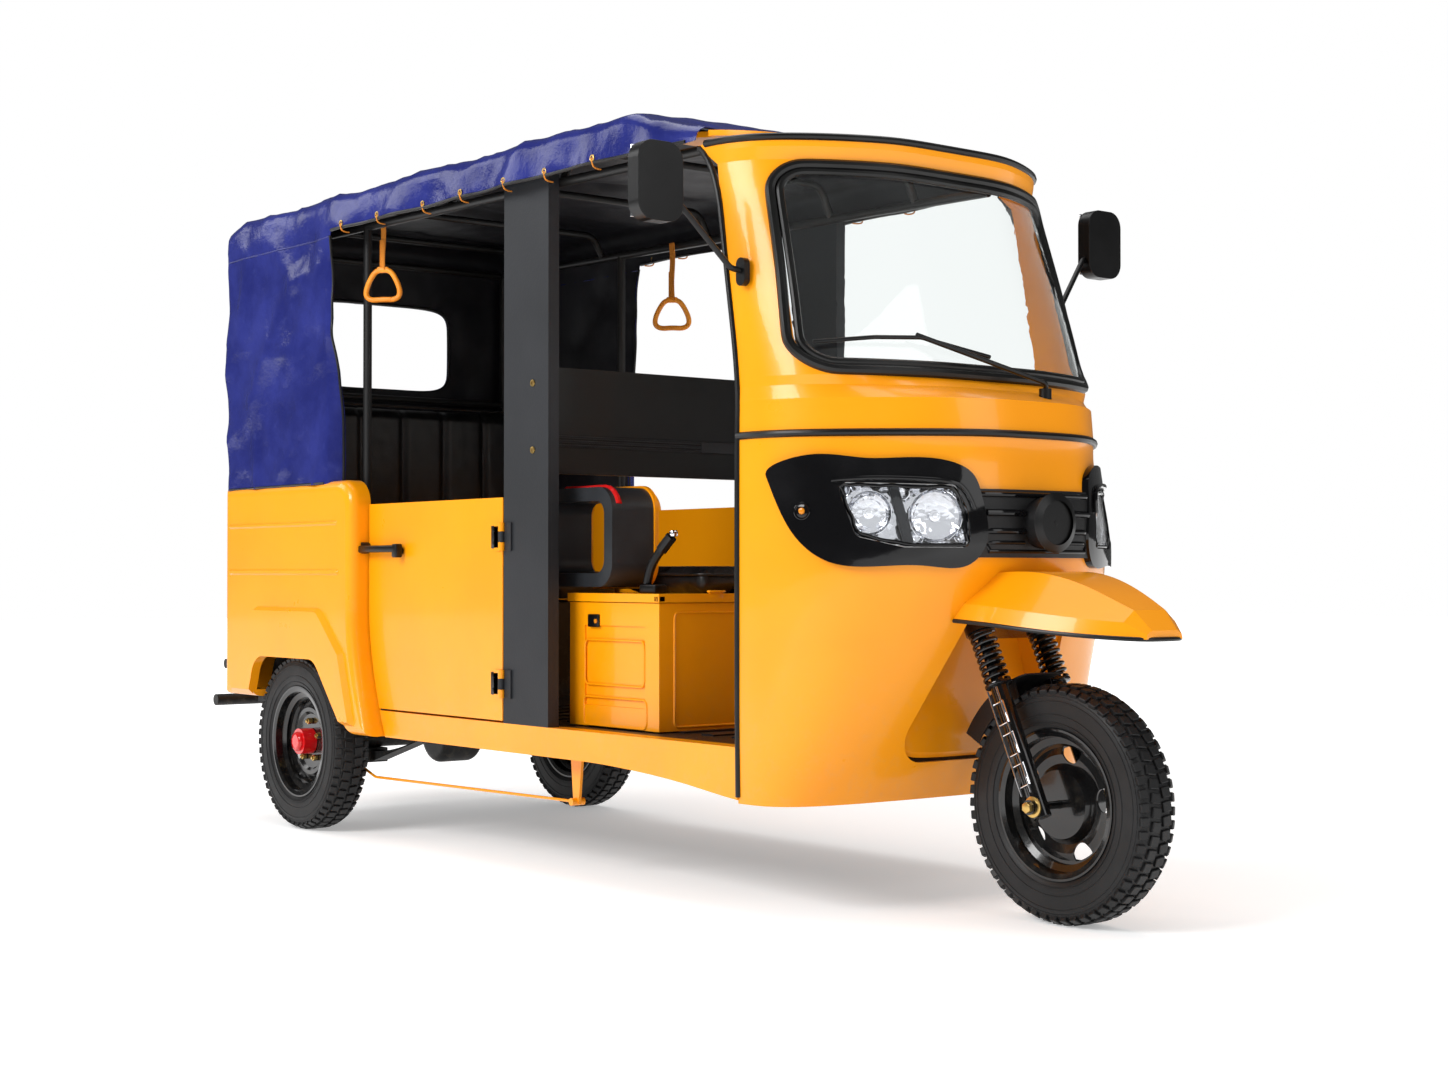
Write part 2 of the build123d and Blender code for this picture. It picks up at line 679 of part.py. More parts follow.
with BuildPart() as pillar:
    block(PILLAR_REAR_X, PILLAR_FRONT_X, -BODY_HALF, -BODY_HALF + 34, FLOOR_Z, ROOF_Z)
    for z in HINGE_HEIGHTS:
        block(HINGE_X + 10, HINGE_X + 40, -BODY_HALF - 5, -BODY_HALF, z - 38, z + 38)
        block(HINGE_X, HINGE_X + 12, -BODY_HALF - 5, -BODY_HALF, z - 14, z + 14)
        with BuildSketch(Plane.XY.offset(z - 14)):
            with Locations((HINGE_X, HINGE_Y)):
                Circle(KNUCKLE_R)
        extrude(amount=28)
        with BuildSketch(Plane.XY.offset(z - 38)):
            with Locations((HINGE_X, HINGE_Y)):
                Circle(4)
        extrude(amount=76)
mirrored_pair("b_pillars", pillar.part)

with BuildPart() as door:
    with BuildSketch(Plane.XZ.offset(BODY_HALF - DOOR_THICK)):
        with BuildLine():
            Polyline((DOOR_LOW_X, FLOOR_Z + GAP), (PILLAR_REAR_X - GAP, FLOOR_Z + GAP),
                     (PILLAR_REAR_X - GAP, WAIST_Z), (DOOR_REAR_X, WAIST_Z), (DOOR_REAR_X, 690))
            Bezier((DOOR_REAR_X, 690), (DOOR_REAR_X, 569), (DOOR_LOW_X, FLOOR_Z + GAP))
        make_face()
    extrude(amount=DOOR_THICK)
    for z in HINGE_HEIGHTS:
        block(HINGE_X - 44, HINGE_X - 10, -BODY_HALF - 5, -BODY_HALF, z - 38, z + 38)
        for low in (z - 38, z + 15):
            with BuildSketch(Plane.XY.offset(low)):
                with Locations((HINGE_X, HINGE_Y)):
                    Circle(KNUCKLE_R)
            extrude(amount=23)
            block(HINGE_X - 12, HINGE_X, -BODY_HALF - 5, -BODY_HALF, low, low + 23)
        with BuildSketch(Plane.XY.offset(z - 40)):
            with Locations((HINGE_X, HINGE_Y)):
                Circle(4.4)
        extrude(amount=80, mode=Mode.SUBTRACT)
both_sides("door", door.part)

BOARD_X = PILLAR_REAR_X + 6
with BuildPart() as partition_board:
    half = BODY_HALF - 34
    block(BOARD_X, BOARD_X + 16, -half, half, 1070, 1363)
    block(BOARD_X, BOARD_X + 22, -half, half, 1150, 1178)
save("partition_board", partition_board.part)


# ---------------------------------------------------------------- roof frame and canopy
POST_Y = 474.0
POST_X = CURTAIN_FRONT_X + 40
REAR_POST_X = BODY_REAR_X + 34
RAIL_TUBE_R = 13.0
HOOP_XS = (REAR_POST_X + 150, -1000, -420, 160, 520)

RAIL_FRONT_X = 800.0


def rail_z(x):
    """Height of the sloping roof side rails."""
    return ROOF_Z + 14 - 44 * (x - REAR_POST_X) / (RAIL_FRONT_X - REAR_POST_X)


with BuildPart() as roof_frame:
    for side in (-1, 1):
        y = side * POST_Y
        tube([(REAR_POST_X, y, rail_z(REAR_POST_X)), (RAIL_FRONT_X, y, rail_z(RAIL_FRONT_X))],
             RAIL_TUBE_R, 0)
        for x in (REAR_POST_X, POST_X):
            tube([(x, y, QUARTER_TOP_Z - 40), (x, y, rail_z(x))], RAIL_TUBE_R, 0)
    for x in HOOP_XS:
        tube([(x, -POST_Y, rail_z(x)), (x, -430, ROOF_Z + 76), (x, 430, ROOF_Z + 76),
              (x, POST_Y, rail_z(x))], RAIL_TUBE_R - 2, 60)
    for z in (ROOF_Z + 10, 1400, 1110):
        tube([(REAR_POST_X, -POST_Y, z), (REAR_POST_X, POST_Y, z)], RAIL_TUBE_R - 2, 0)
save("roof_frame", roof_frame.part)

CANOPY_SKIN = 6.0
CANOPY_LOW_Z = 1832.0
CUT_HALF = 700.0


def canopy_section(x, inset, low, half, top):
    """Cross section of the canopy: upright sides, a round shoulder and a slight crown."""
    w = half - inset
    t = top - inset
    with BuildSketch(Plane.YZ.offset(x)) as face:
        with BuildLine():
            Polyline((-w + 44, t - 16), (-w, t - 62), (-w - 6, low), (w + 6, low),
                     (w, t - 62), (w - 44, t - 16))
            ThreePointArc((w - 44, t - 16), (0, t), (-w + 44, t - 16))
        make_face()
    return face.sketch


CANOPY_REAR_X = BODY_REAR_X - 12
CANOPY_FRONT_X = 545.0
CANOPY_TIP_X = 812.0


def canopy_solid(inset):
    """Outside of the canopy, or its inside when inset."""
    low = CURTAIN_LOW_Z - (1 if inset else 0)
    with BuildPart() as solid:
        rear = CANOPY_REAR_X + inset
        for x, half, top in ((rear, 580, CANOPY_TOP_Z - 40), (rear + 110, 584, CANOPY_TOP_Z)):
            add(canopy_section(x, inset, low, half, top))
        loft(ruled=True)
        for x in (rear + 110, CANOPY_FRONT_X):
            half = 584 if x < 0 else 556
            add(canopy_section(x, inset, low, half, CANOPY_TOP_Z))
        loft(ruled=True)
        for x, top in ((CANOPY_FRONT_X, CANOPY_TOP_Z), (CANOPY_TIP_X + inset, CANOPY_TOP_Z - 78)):
            half = 556 if x == CANOPY_FRONT_X else 530
            add(canopy_section(x, inset, low, half, top))
        loft(ruled=True)
    return solid.part


with BuildPart() as canopy:
    add(canopy_solid(0))
    add(canopy_solid(CANOPY_SKIN), mode=Mode.SUBTRACT)
    cut_block(CURTAIN_FRONT_X, A_PILLAR_X, -CUT_HALF, CUT_HALF, 900, CANOPY_LOW_Z)
    with BuildSketch(Plane.YZ.offset(CANOPY_REAR_X - 20)):
        with Locations((0, 1581)):
            RectangleRounded(540, 288, 50)
    extrude(amount=60, mode=Mode.SUBTRACT)
save("canopy", canopy.part)

STRAP_PLACES = ((-845, -450), (-584, 450))


def grab_strap(x, y):
    """A webbing strap with a ring grip at its foot."""
    with BuildPart() as strap:
        block(x - 14, x + 14, y - 2.5, y + 2.5, 1716, ROOF_Z + 2)
        with BuildSketch(Plane.XZ.offset(-y - 8)) as ring:
            Polygon((x - 26, 1722), (x - 62, 1640), (x - 36, 1616), (x + 36, 1616),
                    (x + 62, 1640), (x + 26, 1722), align=None)
            fillet(ring.vertices(), 14)
            Polygon((x - 18, 1704), (x - 42, 1646), (x - 28, 1634), (x + 28, 1634),
                    (x + 42, 1646), (x + 18, 1704), align=None, mode=Mode.SUBTRACT)
        extrude(amount=16)
    return strap.part


with BuildPart() as grab_straps:
    for place in STRAP_PLACES:
        add(grab_strap(*place))
save("grab_straps", grab_straps.part)


# ---------------------------------------------------------------- seats
SEAT_BOX_REAR_X = 119.0
SEAT_BOX_FRONT_X = 518.0
SEAT_BOX_HALF = 420.0
SEAT_BOX_TOP_Z = 744.0
LID_THICK = 22.0

with BuildPart() as seat_box:
    block(SEAT_BOX_REAR_X, SEAT_BOX_FRONT_X, -SEAT_BOX_HALF, SEAT_BOX_HALF, FLOOR_Z + 4,
          SEAT_BOX_TOP_Z - LID_THICK - 2)
    cut_block(SEAT_BOX_REAR_X + 12, SEAT_BOX_FRONT_X - 12, -SEAT_BOX_HALF + 12,
              SEAT_BOX_HALF - 12, FLOOR_Z, 800)
    for side in (-1, 1):
        y = side * SEAT_BOX_HALF
        cut_block(SEAT_BOX_REAR_X + 70, SEAT_BOX_FRONT_X - 60, y - 5, y + 5, 450, 660)
save("seat_box", seat_box.part)

with BuildPart() as seat_box_lid:
    block(SEAT_BOX_REAR_X - 5, SEAT_BOX_FRONT_X + 5, -SEAT_BOX_HALF - 5, SEAT_BOX_HALF + 5,
          SEAT_BOX_TOP_Z - LID_THICK, SEAT_BOX_TOP_Z)
save("seat_box_lid", seat_box_lid.part)

with BuildPart() as driver_cushion:
    block(SEAT_BOX_REAR_X + 10, SEAT_BOX_FRONT_X - 26, -262, 262, SEAT_BOX_TOP_Z + 0.3, 812)
    fillet(driver_cushion.edges().group_by(Axis.Z)[-1], 28)
save("driver_cushion", driver_cushion.part)

ARM_INNER_Y = 285.0
ARM_OUTER_Y = 420.0
ARM_RIM_WIDTH = 12.0
with BuildPart() as arm_rest:
    with BuildSketch(Plane.XZ.offset(ARM_INNER_Y)):
        with Locations((150, 892)):
            RectangleRounded(324, 263, 62)
            RectangleRounded(252, 191, 36, mode=Mode.SUBTRACT)
    extrude(amount=ARM_OUTER_Y - ARM_INNER_Y)
    block(10, 46, -BODY_HALF + 34, -ARM_OUTER_Y, 870, 910)
mirrored_pair("arm_rests", arm_rest.part)

with BuildPart() as arm_rest_rim:
    with BuildSketch(Plane.XZ.offset(ARM_INNER_Y - ARM_RIM_WIDTH)):
        with Locations((150, 892)):
            RectangleRounded(336, 275, 68)
            RectangleRounded(270, 209, 44, mode=Mode.SUBTRACT)
    extrude(amount=ARM_RIM_WIDTH)
mirrored_pair("arm_rest_rims", arm_rest_rim.part)

BENCH_FRONT_X = -960.0
BENCH_REAR_X = -1500.0
BENCH_TOP_Z = 700.0
REAR_SEAT_Z = 800.0
BACKREST_REAR_X = -1596.0
BACKREST_TOP_Z = 1368.0
with BuildPart() as rear_bench_base:
    half = WHEELHOUSE_INNER_Y - 2
    block(BENCH_REAR_X, BENCH_FRONT_X, -half, half, FLOOR_Z, BENCH_TOP_Z)
    cut_block(BENCH_REAR_X + SKIN, BENCH_FRONT_X - SKIN, -half + SKIN, half - SKIN,
              FLOOR_Z - 5, BENCH_TOP_Z - SKIN)
save("rear_bench_base", rear_bench_base.part)

with BuildPart() as rear_cushion:
    block(BENCH_REAR_X, BENCH_FRONT_X + 30, -500, 500, BENCH_TOP_Z + 0.3, REAR_SEAT_Z)
    fillet(rear_cushion.edges().group_by(Axis.Z)[-1], 34)
save("rear_cushion", rear_cushion.part)

with BuildPart() as rear_backrest:
    block(BACKREST_REAR_X, BACKREST_REAR_X + 90, -480, 480, REAR_SEAT_Z + 6, BACKREST_TOP_Z)
    fillet(rear_backrest.edges().group_by(Axis.X)[-1], 34)
save("rear_backrest", rear_backrest.part)


# ---------------------------------------------------------------- steering and fork
SPRING_LOW = 292.0
SPRING_HIGH = 426.0
YOKE_THICK = 30.0
LEG_R = 21.0
AXLE_R = 9.0

with BuildPart() as fork_legs:
    for side in (-1, 1):
        with BuildSketch(STEER.offset(-26)):
            with Locations((0, side * FORK_HALF)):
                Circle(LEG_R)
        extrude(amount=SPRING_LOW + 26)
        with BuildSketch(STEER.offset(SPRING_LOW)):
            with Locations((0, side * FORK_HALF)):
                Circle(14)
        extrude(amount=SPRING_HIGH - SPRING_LOW)
    with BuildSketch(Plane.XZ.offset(-FORK_HALF - 40)):
        with Locations((AXLE_FRONT_X, AXLE_Z)):
            Circle(AXLE_R)
    extrude(amount=2 * FORK_HALF + 80, mode=Mode.SUBTRACT)
with BuildPart() as front_axle:
    with BuildSketch(Plane.XZ.offset(-FORK_HALF - 32)):
        with Locations((AXLE_FRONT_X, AXLE_Z)):
            Circle(AXLE_R)
    extrude(amount=2 * FORK_HALF + 64)
    for side in (-1, 1):
        with BuildSketch(Plane.XZ.offset(side * (FORK_HALF + 28) - 7)):
            with Locations((AXLE_FRONT_X, AXLE_Z)):
                Circle(17)
        extrude(amount=14)
with BuildPart() as fork:
    add(fork_legs.part)
    add(front_axle.part)
save("fork_legs", fork.part)

with BuildPart() as fork_springs:
    for side in (-1, 1):
        with BuildSketch(STEER.offset(SPRING_LOW)):
            with Locations((0, side * FORK_HALF)):
                Circle(33)
                Circle(15, mode=Mode.SUBTRACT)
        extrude(amount=SPRING_HIGH - SPRING_LOW)
save("fork_springs", fork_springs.part)

with BuildPart() as steering_yoke:
    with BuildSketch(STEER.offset(SPRING_HIGH)):
        SlotCenterToCenter(2 * FORK_HALF, 74, rotation=90)
    extrude(amount=YOKE_THICK)
    with BuildSketch(STEER.offset(SPRING_HIGH)):
        Circle(STEM_R)
    extrude(amount=STEM_LENGTH - SPRING_HIGH)
save("steering_yoke", steering_yoke.part)

GRIP_HALF = 300.0
with BuildPart() as handlebar:
    top = STEER.from_local_coords((0, 0, STEM_LENGTH - 22))
    for side in (-1, 1):
        tube([(top.X - 4, side * 2, top.Z + 6), (top.X - 70, side * 130, top.Z + 60),
              (top.X - 190, side * 250, top.Z + 44),
              (top.X - 320, side * GRIP_HALF, top.Z + 20)], 11, 70)
    with BuildSketch(STEER.offset(STEM_LENGTH - 60)):
        Circle(34)
    extrude(amount=84)
    with BuildSketch(STEER.offset(STEM_LENGTH - 70)):
        Circle(STEM_R)
    extrude(amount=70, mode=Mode.SUBTRACT)
save("handlebar", handlebar.part)

MUDGUARD_R = 300.0
MUDGUARD_HALF = 62.0
MUDGUARD_REAR = 151.0


def ring_point(radius, angle):
    """A point about the front wheel's centre, in side view."""
    turn = radians(angle)
    return (AXLE_FRONT_X + radius * cos(turn), AXLE_Z + radius * sin(turn))


def mudguard_band(low, high, end, y, width):
    """A band of the mudguard between two radii, from its rear edge to the angle end."""
    middle = (MUDGUARD_REAR + end) / 2
    with BuildPart() as band:
        with BuildSketch(Plane.XZ.offset(-y)):
            with Locations((AXLE_FRONT_X, AXLE_Z)):
                Circle(high)
                Circle(low, mode=Mode.SUBTRACT)
            Polygon((AXLE_FRONT_X, AXLE_Z), ring_point(600, end), ring_point(700, middle),
                    ring_point(600, MUDGUARD_REAR), align=None, mode=Mode.INTERSECT)
        extrude(amount=width)
    return band.part


with BuildPart() as inner_mudguard:
    add(mudguard_band(MUDGUARD_R, MUDGUARD_R + 4, 104, MUDGUARD_HALF, 2 * MUDGUARD_HALF))
    add(mudguard_band(MUDGUARD_R - 42, MUDGUARD_R + 4, 112, MUDGUARD_HALF, 3))
    add(mudguard_band(MUDGUARD_R - 42, MUDGUARD_R + 4, 112, 3 - MUDGUARD_HALF, 3))
save("inner_mudguard", inner_mudguard.part)


# ---------------------------------------------------------------- wheels
def wheel_profile(x, points, hub_y=0.0):
    """A closed profile of a wheel in its own half plane: (across, radius) pairs."""
    with BuildSketch(Plane((x, 0, AXLE_Z), x_dir=(0, 1, 0), z_dir=(1, 0, 0))) as face:
        with Locations((hub_y, 0)):
            Polygon(*points, align=None)
    return face.sketch


def wheel_axis(x):
    """The line that a wheel turns about."""
    return Axis((x, 0, AXLE_Z), (0, 1, 0))


def tyre(x, y):
    """A plain tyre with a slightly crowned tread."""
    half = TYRE_WIDTH / 2
    with BuildPart() as body:
        with BuildSketch(Plane((x, 0, AXLE_Z), x_dir=(0, 1, 0), z_dir=(1, 0, 0))):
            with BuildLine():
                ThreePointArc((y - half + 9, TYRE_R - 7), (y, TYRE_R), (y + half - 9, TYRE_R - 7))
                Spline((y + half - 9, TYRE_R - 7), (y + half - 1, TYRE_R - 26),
                       (y + half, TYRE_R - 58), (y + 43, RIM_R + 3))
                Line((y + 43, RIM_R + 3), (y + 43, RIM_R - 5))
                Line((y + 43, RIM_R - 5), (y - 43, RIM_R - 5))
                Line((y - 43, RIM_R - 5), (y - 43, RIM_R + 3))
                Spline((y - 43, RIM_R + 3), (y - half, TYRE_R - 58),
                       (y - half + 1, TYRE_R - 26), (y - half + 9, TYRE_R - 7))
            make_face()
        revolve(axis=wheel_axis(x))
    return body.part


RIM_CHANNEL = [
    (-51, RIM_R + 6), (-46, RIM_R + 6), (-44, RIM_R - 6), (-22, RIM_R - 9), (-15, RIM_R - 24),
    (15, RIM_R - 24), (22, RIM_R - 9), (44, RIM_R - 6), (46, RIM_R + 6), (51, RIM_R + 6),
    (51, RIM_R + 1), (48, RIM_R - 11), (26, RIM_R - 14), (19, RIM_R - 29),
    (-19, RIM_R - 29), (-26, RIM_R - 14), (-48, RIM_R - 11), (-51, RIM_R + 1),
]


def rim(x, y, disc, windows):
    """A pressed steel wheel: channel and dished disc, with windows if any."""
    with BuildPart() as body:
        add(wheel_profile(x, RIM_CHANNEL, y))
        revolve(axis=wheel_axis(x))
        add(wheel_profile(x, disc, y))
        revolve(axis=wheel_axis(x))
        for i in range(windows):
            turn = 80 - i * 360 / max(windows, 1)
            frame = Plane((x, 0, AXLE_Z), x_dir=(cos(radians(turn)), 0, sin(radians(turn))),
                          z_dir=(0, -1, 0))
            with BuildSketch(frame.offset(-y - 60)):
                with BuildLine():
                    ThreePointArc((128, -27), (95, 0), (128, 27))
                    ThreePointArc((128, 27), (131, 0), (128, -27))
                make_face()
            extrude(amount=120, mode=Mode.SUBTRACT)
    return body.part


FRONT_DISC = [
    (-32, 10), (-32, 78), (-20, 86), (-12, 92), (-16, 112), (-12, 128), (-12, RIM_R - 27),
    (12, RIM_R - 27), (12, 130), (-8, 126), (-11, 112), (-7, 92), (30, 84), (30, 10),
]
REAR_DISC = [
    (-2, 30), (-2, 84), (-10, 92), (-10, 104), (4, 112), (8, 124), (-6, 132), (-6, RIM_R - 27),
    (2, RIM_R - 27), (2, 134), (14, 126), (10, 110), (-4, 102), (-4, 94), (4, 86), (4, 30),
]

save("front_tyre", tyre(AXLE_FRONT_X, 0))
with BuildPart() as front_rim:
    add(rim(AXLE_FRONT_X, 0, FRONT_DISC, 5))
save("front_rim", front_rim.part)

HUB_CAP_R = 40.0
DISC_CLEARANCE = 4.1
for name, side in (("right", -1), ("left", 1)):
    y = side * REAR_WHEEL_Y
    disc = [(-side * across, radius) for across, radius in REAR_DISC]
    save("rear_tyre_" + name, tyre(AXLE_REAR_X, y))
    save("rear_rim_" + name, rim(AXLE_REAR_X, y, disc, 0))
    with BuildPart() as hub:
        with BuildSketch(Plane.XZ.offset(-y)):
            with Locations((AXLE_REAR_X, AXLE_Z)):
                Circle(29.5)
        extrude(amount=24, both=True)
        with BuildSketch(Plane.XZ.offset(-y)):
            with Locations((AXLE_REAR_X, AXLE_Z)):
                Circle(HUB_CAP_R)
        extrude(amount=-side * 47)
        cut_block(AXLE_REAR_X - 60, AXLE_REAR_X + 60, y - DISC_CLEARANCE, y + DISC_CLEARANCE,
                  AXLE_Z - 60, AXLE_Z + 60)
    save("hub_cap_" + name, hub.part)


# ---------------------------------------------------------------- mirrors and wiper
MIRROR_HEAD_X = 928.0
with BuildPart() as mirror_right:
    tube([(982, -515, 1498), (982, -560, 1504), (950, -680, 1640), (945, -742, 1662)], 7, 24)
    with BuildSketch(Plane.XZ.offset(515)):
        with Locations((982, 1498)):
            SlotCenterToCenter(34, 32, rotation=90)
    extrude(amount=16)
    with BuildSketch(Plane.YZ.offset(MIRROR_HEAD_X)):
        with Locations((-750, 1687)):
            RectangleRounded(128, 182, 42)
    extrude(amount=40)
    fillet(mirror_right.faces().sort_by(Axis.Y)[0].edges(), 1)
mirrored_pair("mirrors", mirror_right.part)

WIPER_PIVOT = (1352, 100)
WIPER_BASE_Z = 1200.0
with BuildPart() as wiper:
    tube([(1352, 100, 1222), (1364, 90, 1246), (1252, -225, 1348)], 6, 14)
    tube([(1160, -462, 1324), (1224, -330, 1338), (1258, -215, 1342), (1272, -5, 1309)], 5, 60)
    with BuildSketch(Plane.XY.offset(WIPER_BASE_Z)):
        with Locations(WIPER_PIVOT):
            Circle(15)
    extrude(amount=34)
    add(front_solid(SHELF_TOP_LEVELS, 0.5, FRAME_REAR_X, ruled=True), mode=Mode.SUBTRACT)
save("wiper", wiper.part)
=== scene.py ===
# %% [markdown]
# An auto rickshaw is a three-wheeled taxi: a steel tub, a cloth roof on tubes, a bench for the
# passengers and one steered wheel in front. Its sizes are settled already, so this lesson opens
# the finished frame and works on what the eye sees: paint, rubber, cloth and small fittings.

# %% Open the frame
import math

import bpy
from mathutils import Matrix, Vector, noise
from mathutils.bvhtree import BVHTree


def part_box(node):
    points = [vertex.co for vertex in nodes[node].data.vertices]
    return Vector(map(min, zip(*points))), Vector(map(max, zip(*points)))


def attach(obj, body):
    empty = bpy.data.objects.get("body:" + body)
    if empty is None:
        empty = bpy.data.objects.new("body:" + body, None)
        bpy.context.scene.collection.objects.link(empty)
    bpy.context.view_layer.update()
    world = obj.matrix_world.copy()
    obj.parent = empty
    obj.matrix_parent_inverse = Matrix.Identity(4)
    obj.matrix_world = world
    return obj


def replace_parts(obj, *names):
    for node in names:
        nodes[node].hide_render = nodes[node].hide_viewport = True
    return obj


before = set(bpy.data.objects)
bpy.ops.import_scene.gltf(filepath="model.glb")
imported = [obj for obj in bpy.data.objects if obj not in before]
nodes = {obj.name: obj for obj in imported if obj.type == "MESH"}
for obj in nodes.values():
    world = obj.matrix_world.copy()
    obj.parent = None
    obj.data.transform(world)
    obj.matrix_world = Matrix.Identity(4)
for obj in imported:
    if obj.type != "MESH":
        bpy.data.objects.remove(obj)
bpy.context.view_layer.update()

# %% [markdown]
# The camera stands low by the front corner, on the driver's right, with a longish lens, so the
# wheel looks large and the roof runs away. It is placed first because everything is judged from it.

# %% Camera
camera_data = bpy.data.cameras.new("studio_camera")
camera_data.lens = 52.25
camera_data.sensor_width = 36
camera_data.clip_end = 80
camera = bpy.data.objects.new("studio_camera", camera_data)
camera.location = (4.781, -3.590, 0.796)
camera.rotation_euler = (math.radians(90.829), 0, math.radians(51.6))
bpy.context.scene.collection.objects.link(camera)
bpy.context.scene.camera = camera
print("camera at", tuple(camera.location))

# %% [markdown]
# A studio shot needs a bright, even sky and a few big soft boxes. Large lamps give long, soft
# highlights on enamel, and that is what makes a curved panel readable. The plain Standard view
# keeps strong paint colours strong, where a film-like view would wash them out.

# %% Light and floor
bpy.context.scene.view_settings.view_transform = "Standard"
world = bpy.data.worlds.new("studio_sky")
world.use_nodes = True
sky = world.node_tree.nodes["Background"]
sky.inputs["Color"].default_value = (1.0, 1.0, 1.0, 1)
rays = world.node_tree.nodes.new("ShaderNodeLightPath")
SKY_SEEN = 1.0
SKY_DIFFUSE = 0.42
SKY_GLOSSY = 0.10


def sky_level(kind, otherwise, value):
    """The sky's strength for one kind of ray, and another strength for the rest."""
    level = world.node_tree.nodes.new("ShaderNodeMapRange")
    level.inputs["To Max"].default_value = value
    world.node_tree.links.new(rays.outputs[kind], level.inputs["Value"])
    if isinstance(otherwise, float):
        level.inputs["To Min"].default_value = otherwise
    else:
        world.node_tree.links.new(otherwise, level.inputs["To Min"])
    return level.outputs["Result"]


strength = sky_level("Is Glossy Ray", SKY_DIFFUSE, SKY_GLOSSY)
strength = sky_level("Is Transmission Ray", strength, SKY_SEEN)
strength = sky_level("Is Camera Ray", strength, SKY_SEEN)
world.node_tree.links.new(strength, sky.inputs["Strength"])
bpy.context.scene.world = world


def soft_box(name, place, aim, size, power):
    """A square lamp at a place, turned to face a point."""
    data = bpy.data.lights.new(name, "AREA")
    data.shape = "RECTANGLE"
    data.size, data.size_y = size
    data.energy = power
    lamp = bpy.data.objects.new(name, data)
    lamp.location = place
    lamp.rotation_euler = (Vector(aim) - Vector(place)).to_track_quat("-Z", "Y").to_euler()
    bpy.context.scene.collection.objects.link(lamp)
    return lamp


soft_box("key_box", (0.6, -6.2, 4.4), (-0.2, 0, 0.8), (3.6, 2.4), 360)
soft_box("front_box", (6.6, 1.0, 3.6), (0.8, 0, 0.9), (4.0, 3.0), 80)
soft_box("top_box", (-0.5, 0.5, 6.0), (-0.3, 0, 1), (6.0, 4.0), 170)
soft_box("rear_box", (-5.2, -3.6, 4.2), (-1.0, 0, 1), (3.0, 2.2), 70)

bpy.ops.mesh.primitive_plane_add(size=60, location=(0, 0, 0))
floor = bpy.context.object
floor.name = "studio_floor"
print("lamps and floor are in place")

# %% [markdown]
# Every finish below is a small sum of noises and masks. Written as Python expressions it stays
# readable, so one class wraps a socket and turns +, - and * into Math nodes.

# %% Shader arithmetic
class Wire:
    """A socket of a node tree that can be added to, multiplied and so on."""

    def __init__(self, tree, socket):
        self.tree = tree
        self.socket = socket

    def math(self, operation, first, second):
        node = self.tree.nodes.new("ShaderNodeMath")
        node.operation = operation
        for slot, value in zip(node.inputs, (first, second)):
            if isinstance(value, Wire):
                self.tree.links.new(value.socket, slot)
            else:
                slot.default_value = value
        return Wire(self.tree, node.outputs[0])

    def __add__(self, other):
        return self.math("ADD", self, other)

    __radd__ = __add__

    def __sub__(self, other):
        return self.math("SUBTRACT", self, other)

    def __rsub__(self, other):
        return self.math("SUBTRACT", other, self)

    def __mul__(self, other):
        return self.math("MULTIPLY", self, other)

    __rmul__ = __mul__


class Finish:
    """A material under construction: a Principled shader and the nodes that feed it."""

    def __init__(self, name, **constants):
        self.material = bpy.data.materials.new(name)
        self.material.use_nodes = True
        self.tree = self.material.node_tree
        self.shader = self.tree.nodes["Principled BSDF"]
        for socket, value in constants.items():
            self.shader.inputs[socket.replace("_", " ")].default_value = value
        place = self.tree.nodes.new("ShaderNodeTexCoord")
        self.place = Wire(self.tree, place.outputs["Object"])
        split = self.node("ShaderNodeSeparateXYZ", {}, {"Vector": self.place})
        self.height = Wire(self.tree, split.socket.node.outputs["Z"])

    def node(self, kind, settings, inputs, out=0):
        """Any other node: its settings first, then the values or links of its sockets."""
        node = self.tree.nodes.new(kind)
        for key, value in settings.items():
            setattr(node, key, value)
        for key, value in inputs.items():
            if isinstance(value, Wire):
                self.tree.links.new(value.socket, node.inputs[key])
            else:
                node.inputs[key].default_value = value
        return Wire(self.tree, node.outputs[out])

    def noise(self, scale, detail=3.0, rough=0.5, vector=None):
        """Cloudy noise between 0 and 1."""
        return self.node("ShaderNodeTexNoise", {}, {
            "Vector": vector or self.place, "Scale": scale, "Detail": detail,
            "Roughness": rough})

    def stretch(self, x, y, z):
        """Object coordinates scaled along each axis."""
        return self.node("ShaderNodeMapping", {}, {"Vector": self.place, "Scale": (x, y, z)})

    def mask(self, value, low, high):
        """0 below low, 1 above high and smooth between them."""
        return self.node("ShaderNodeMapRange", {"interpolation_type": "SMOOTHSTEP"}, {
            "Value": value, "From Min": low, "From Max": high})

    def mix(self, mask, first, second):
        """One colour where the mask is 0 and another where it is 1."""
        return self.node("ShaderNodeMix", {"data_type": "RGBA"},
                         {0: mask, 6: first, 7: second}, 2)

    def feed(self, **inputs):
        """Links what changes over the surface."""
        for socket, wire in inputs.items():
            self.tree.links.new(wire.socket, self.shader.inputs[socket.replace("_", " ")])
        return self

    def bump(self, height, distance, strength=1.0):
        """Relief from a height, in metres."""
        relief = self.node("ShaderNodeBump", {}, {
            "Height": height, "Distance": distance, "Strength": strength})
        return self.feed(Normal=relief)


print("shader tools are ready")

# %% [markdown]
# The floor is a plain pale sweep that glows a little more far away, so that it meets the sky
# without an edge. A trace of noise in its roughness keeps it from looking like a flat cut-out.

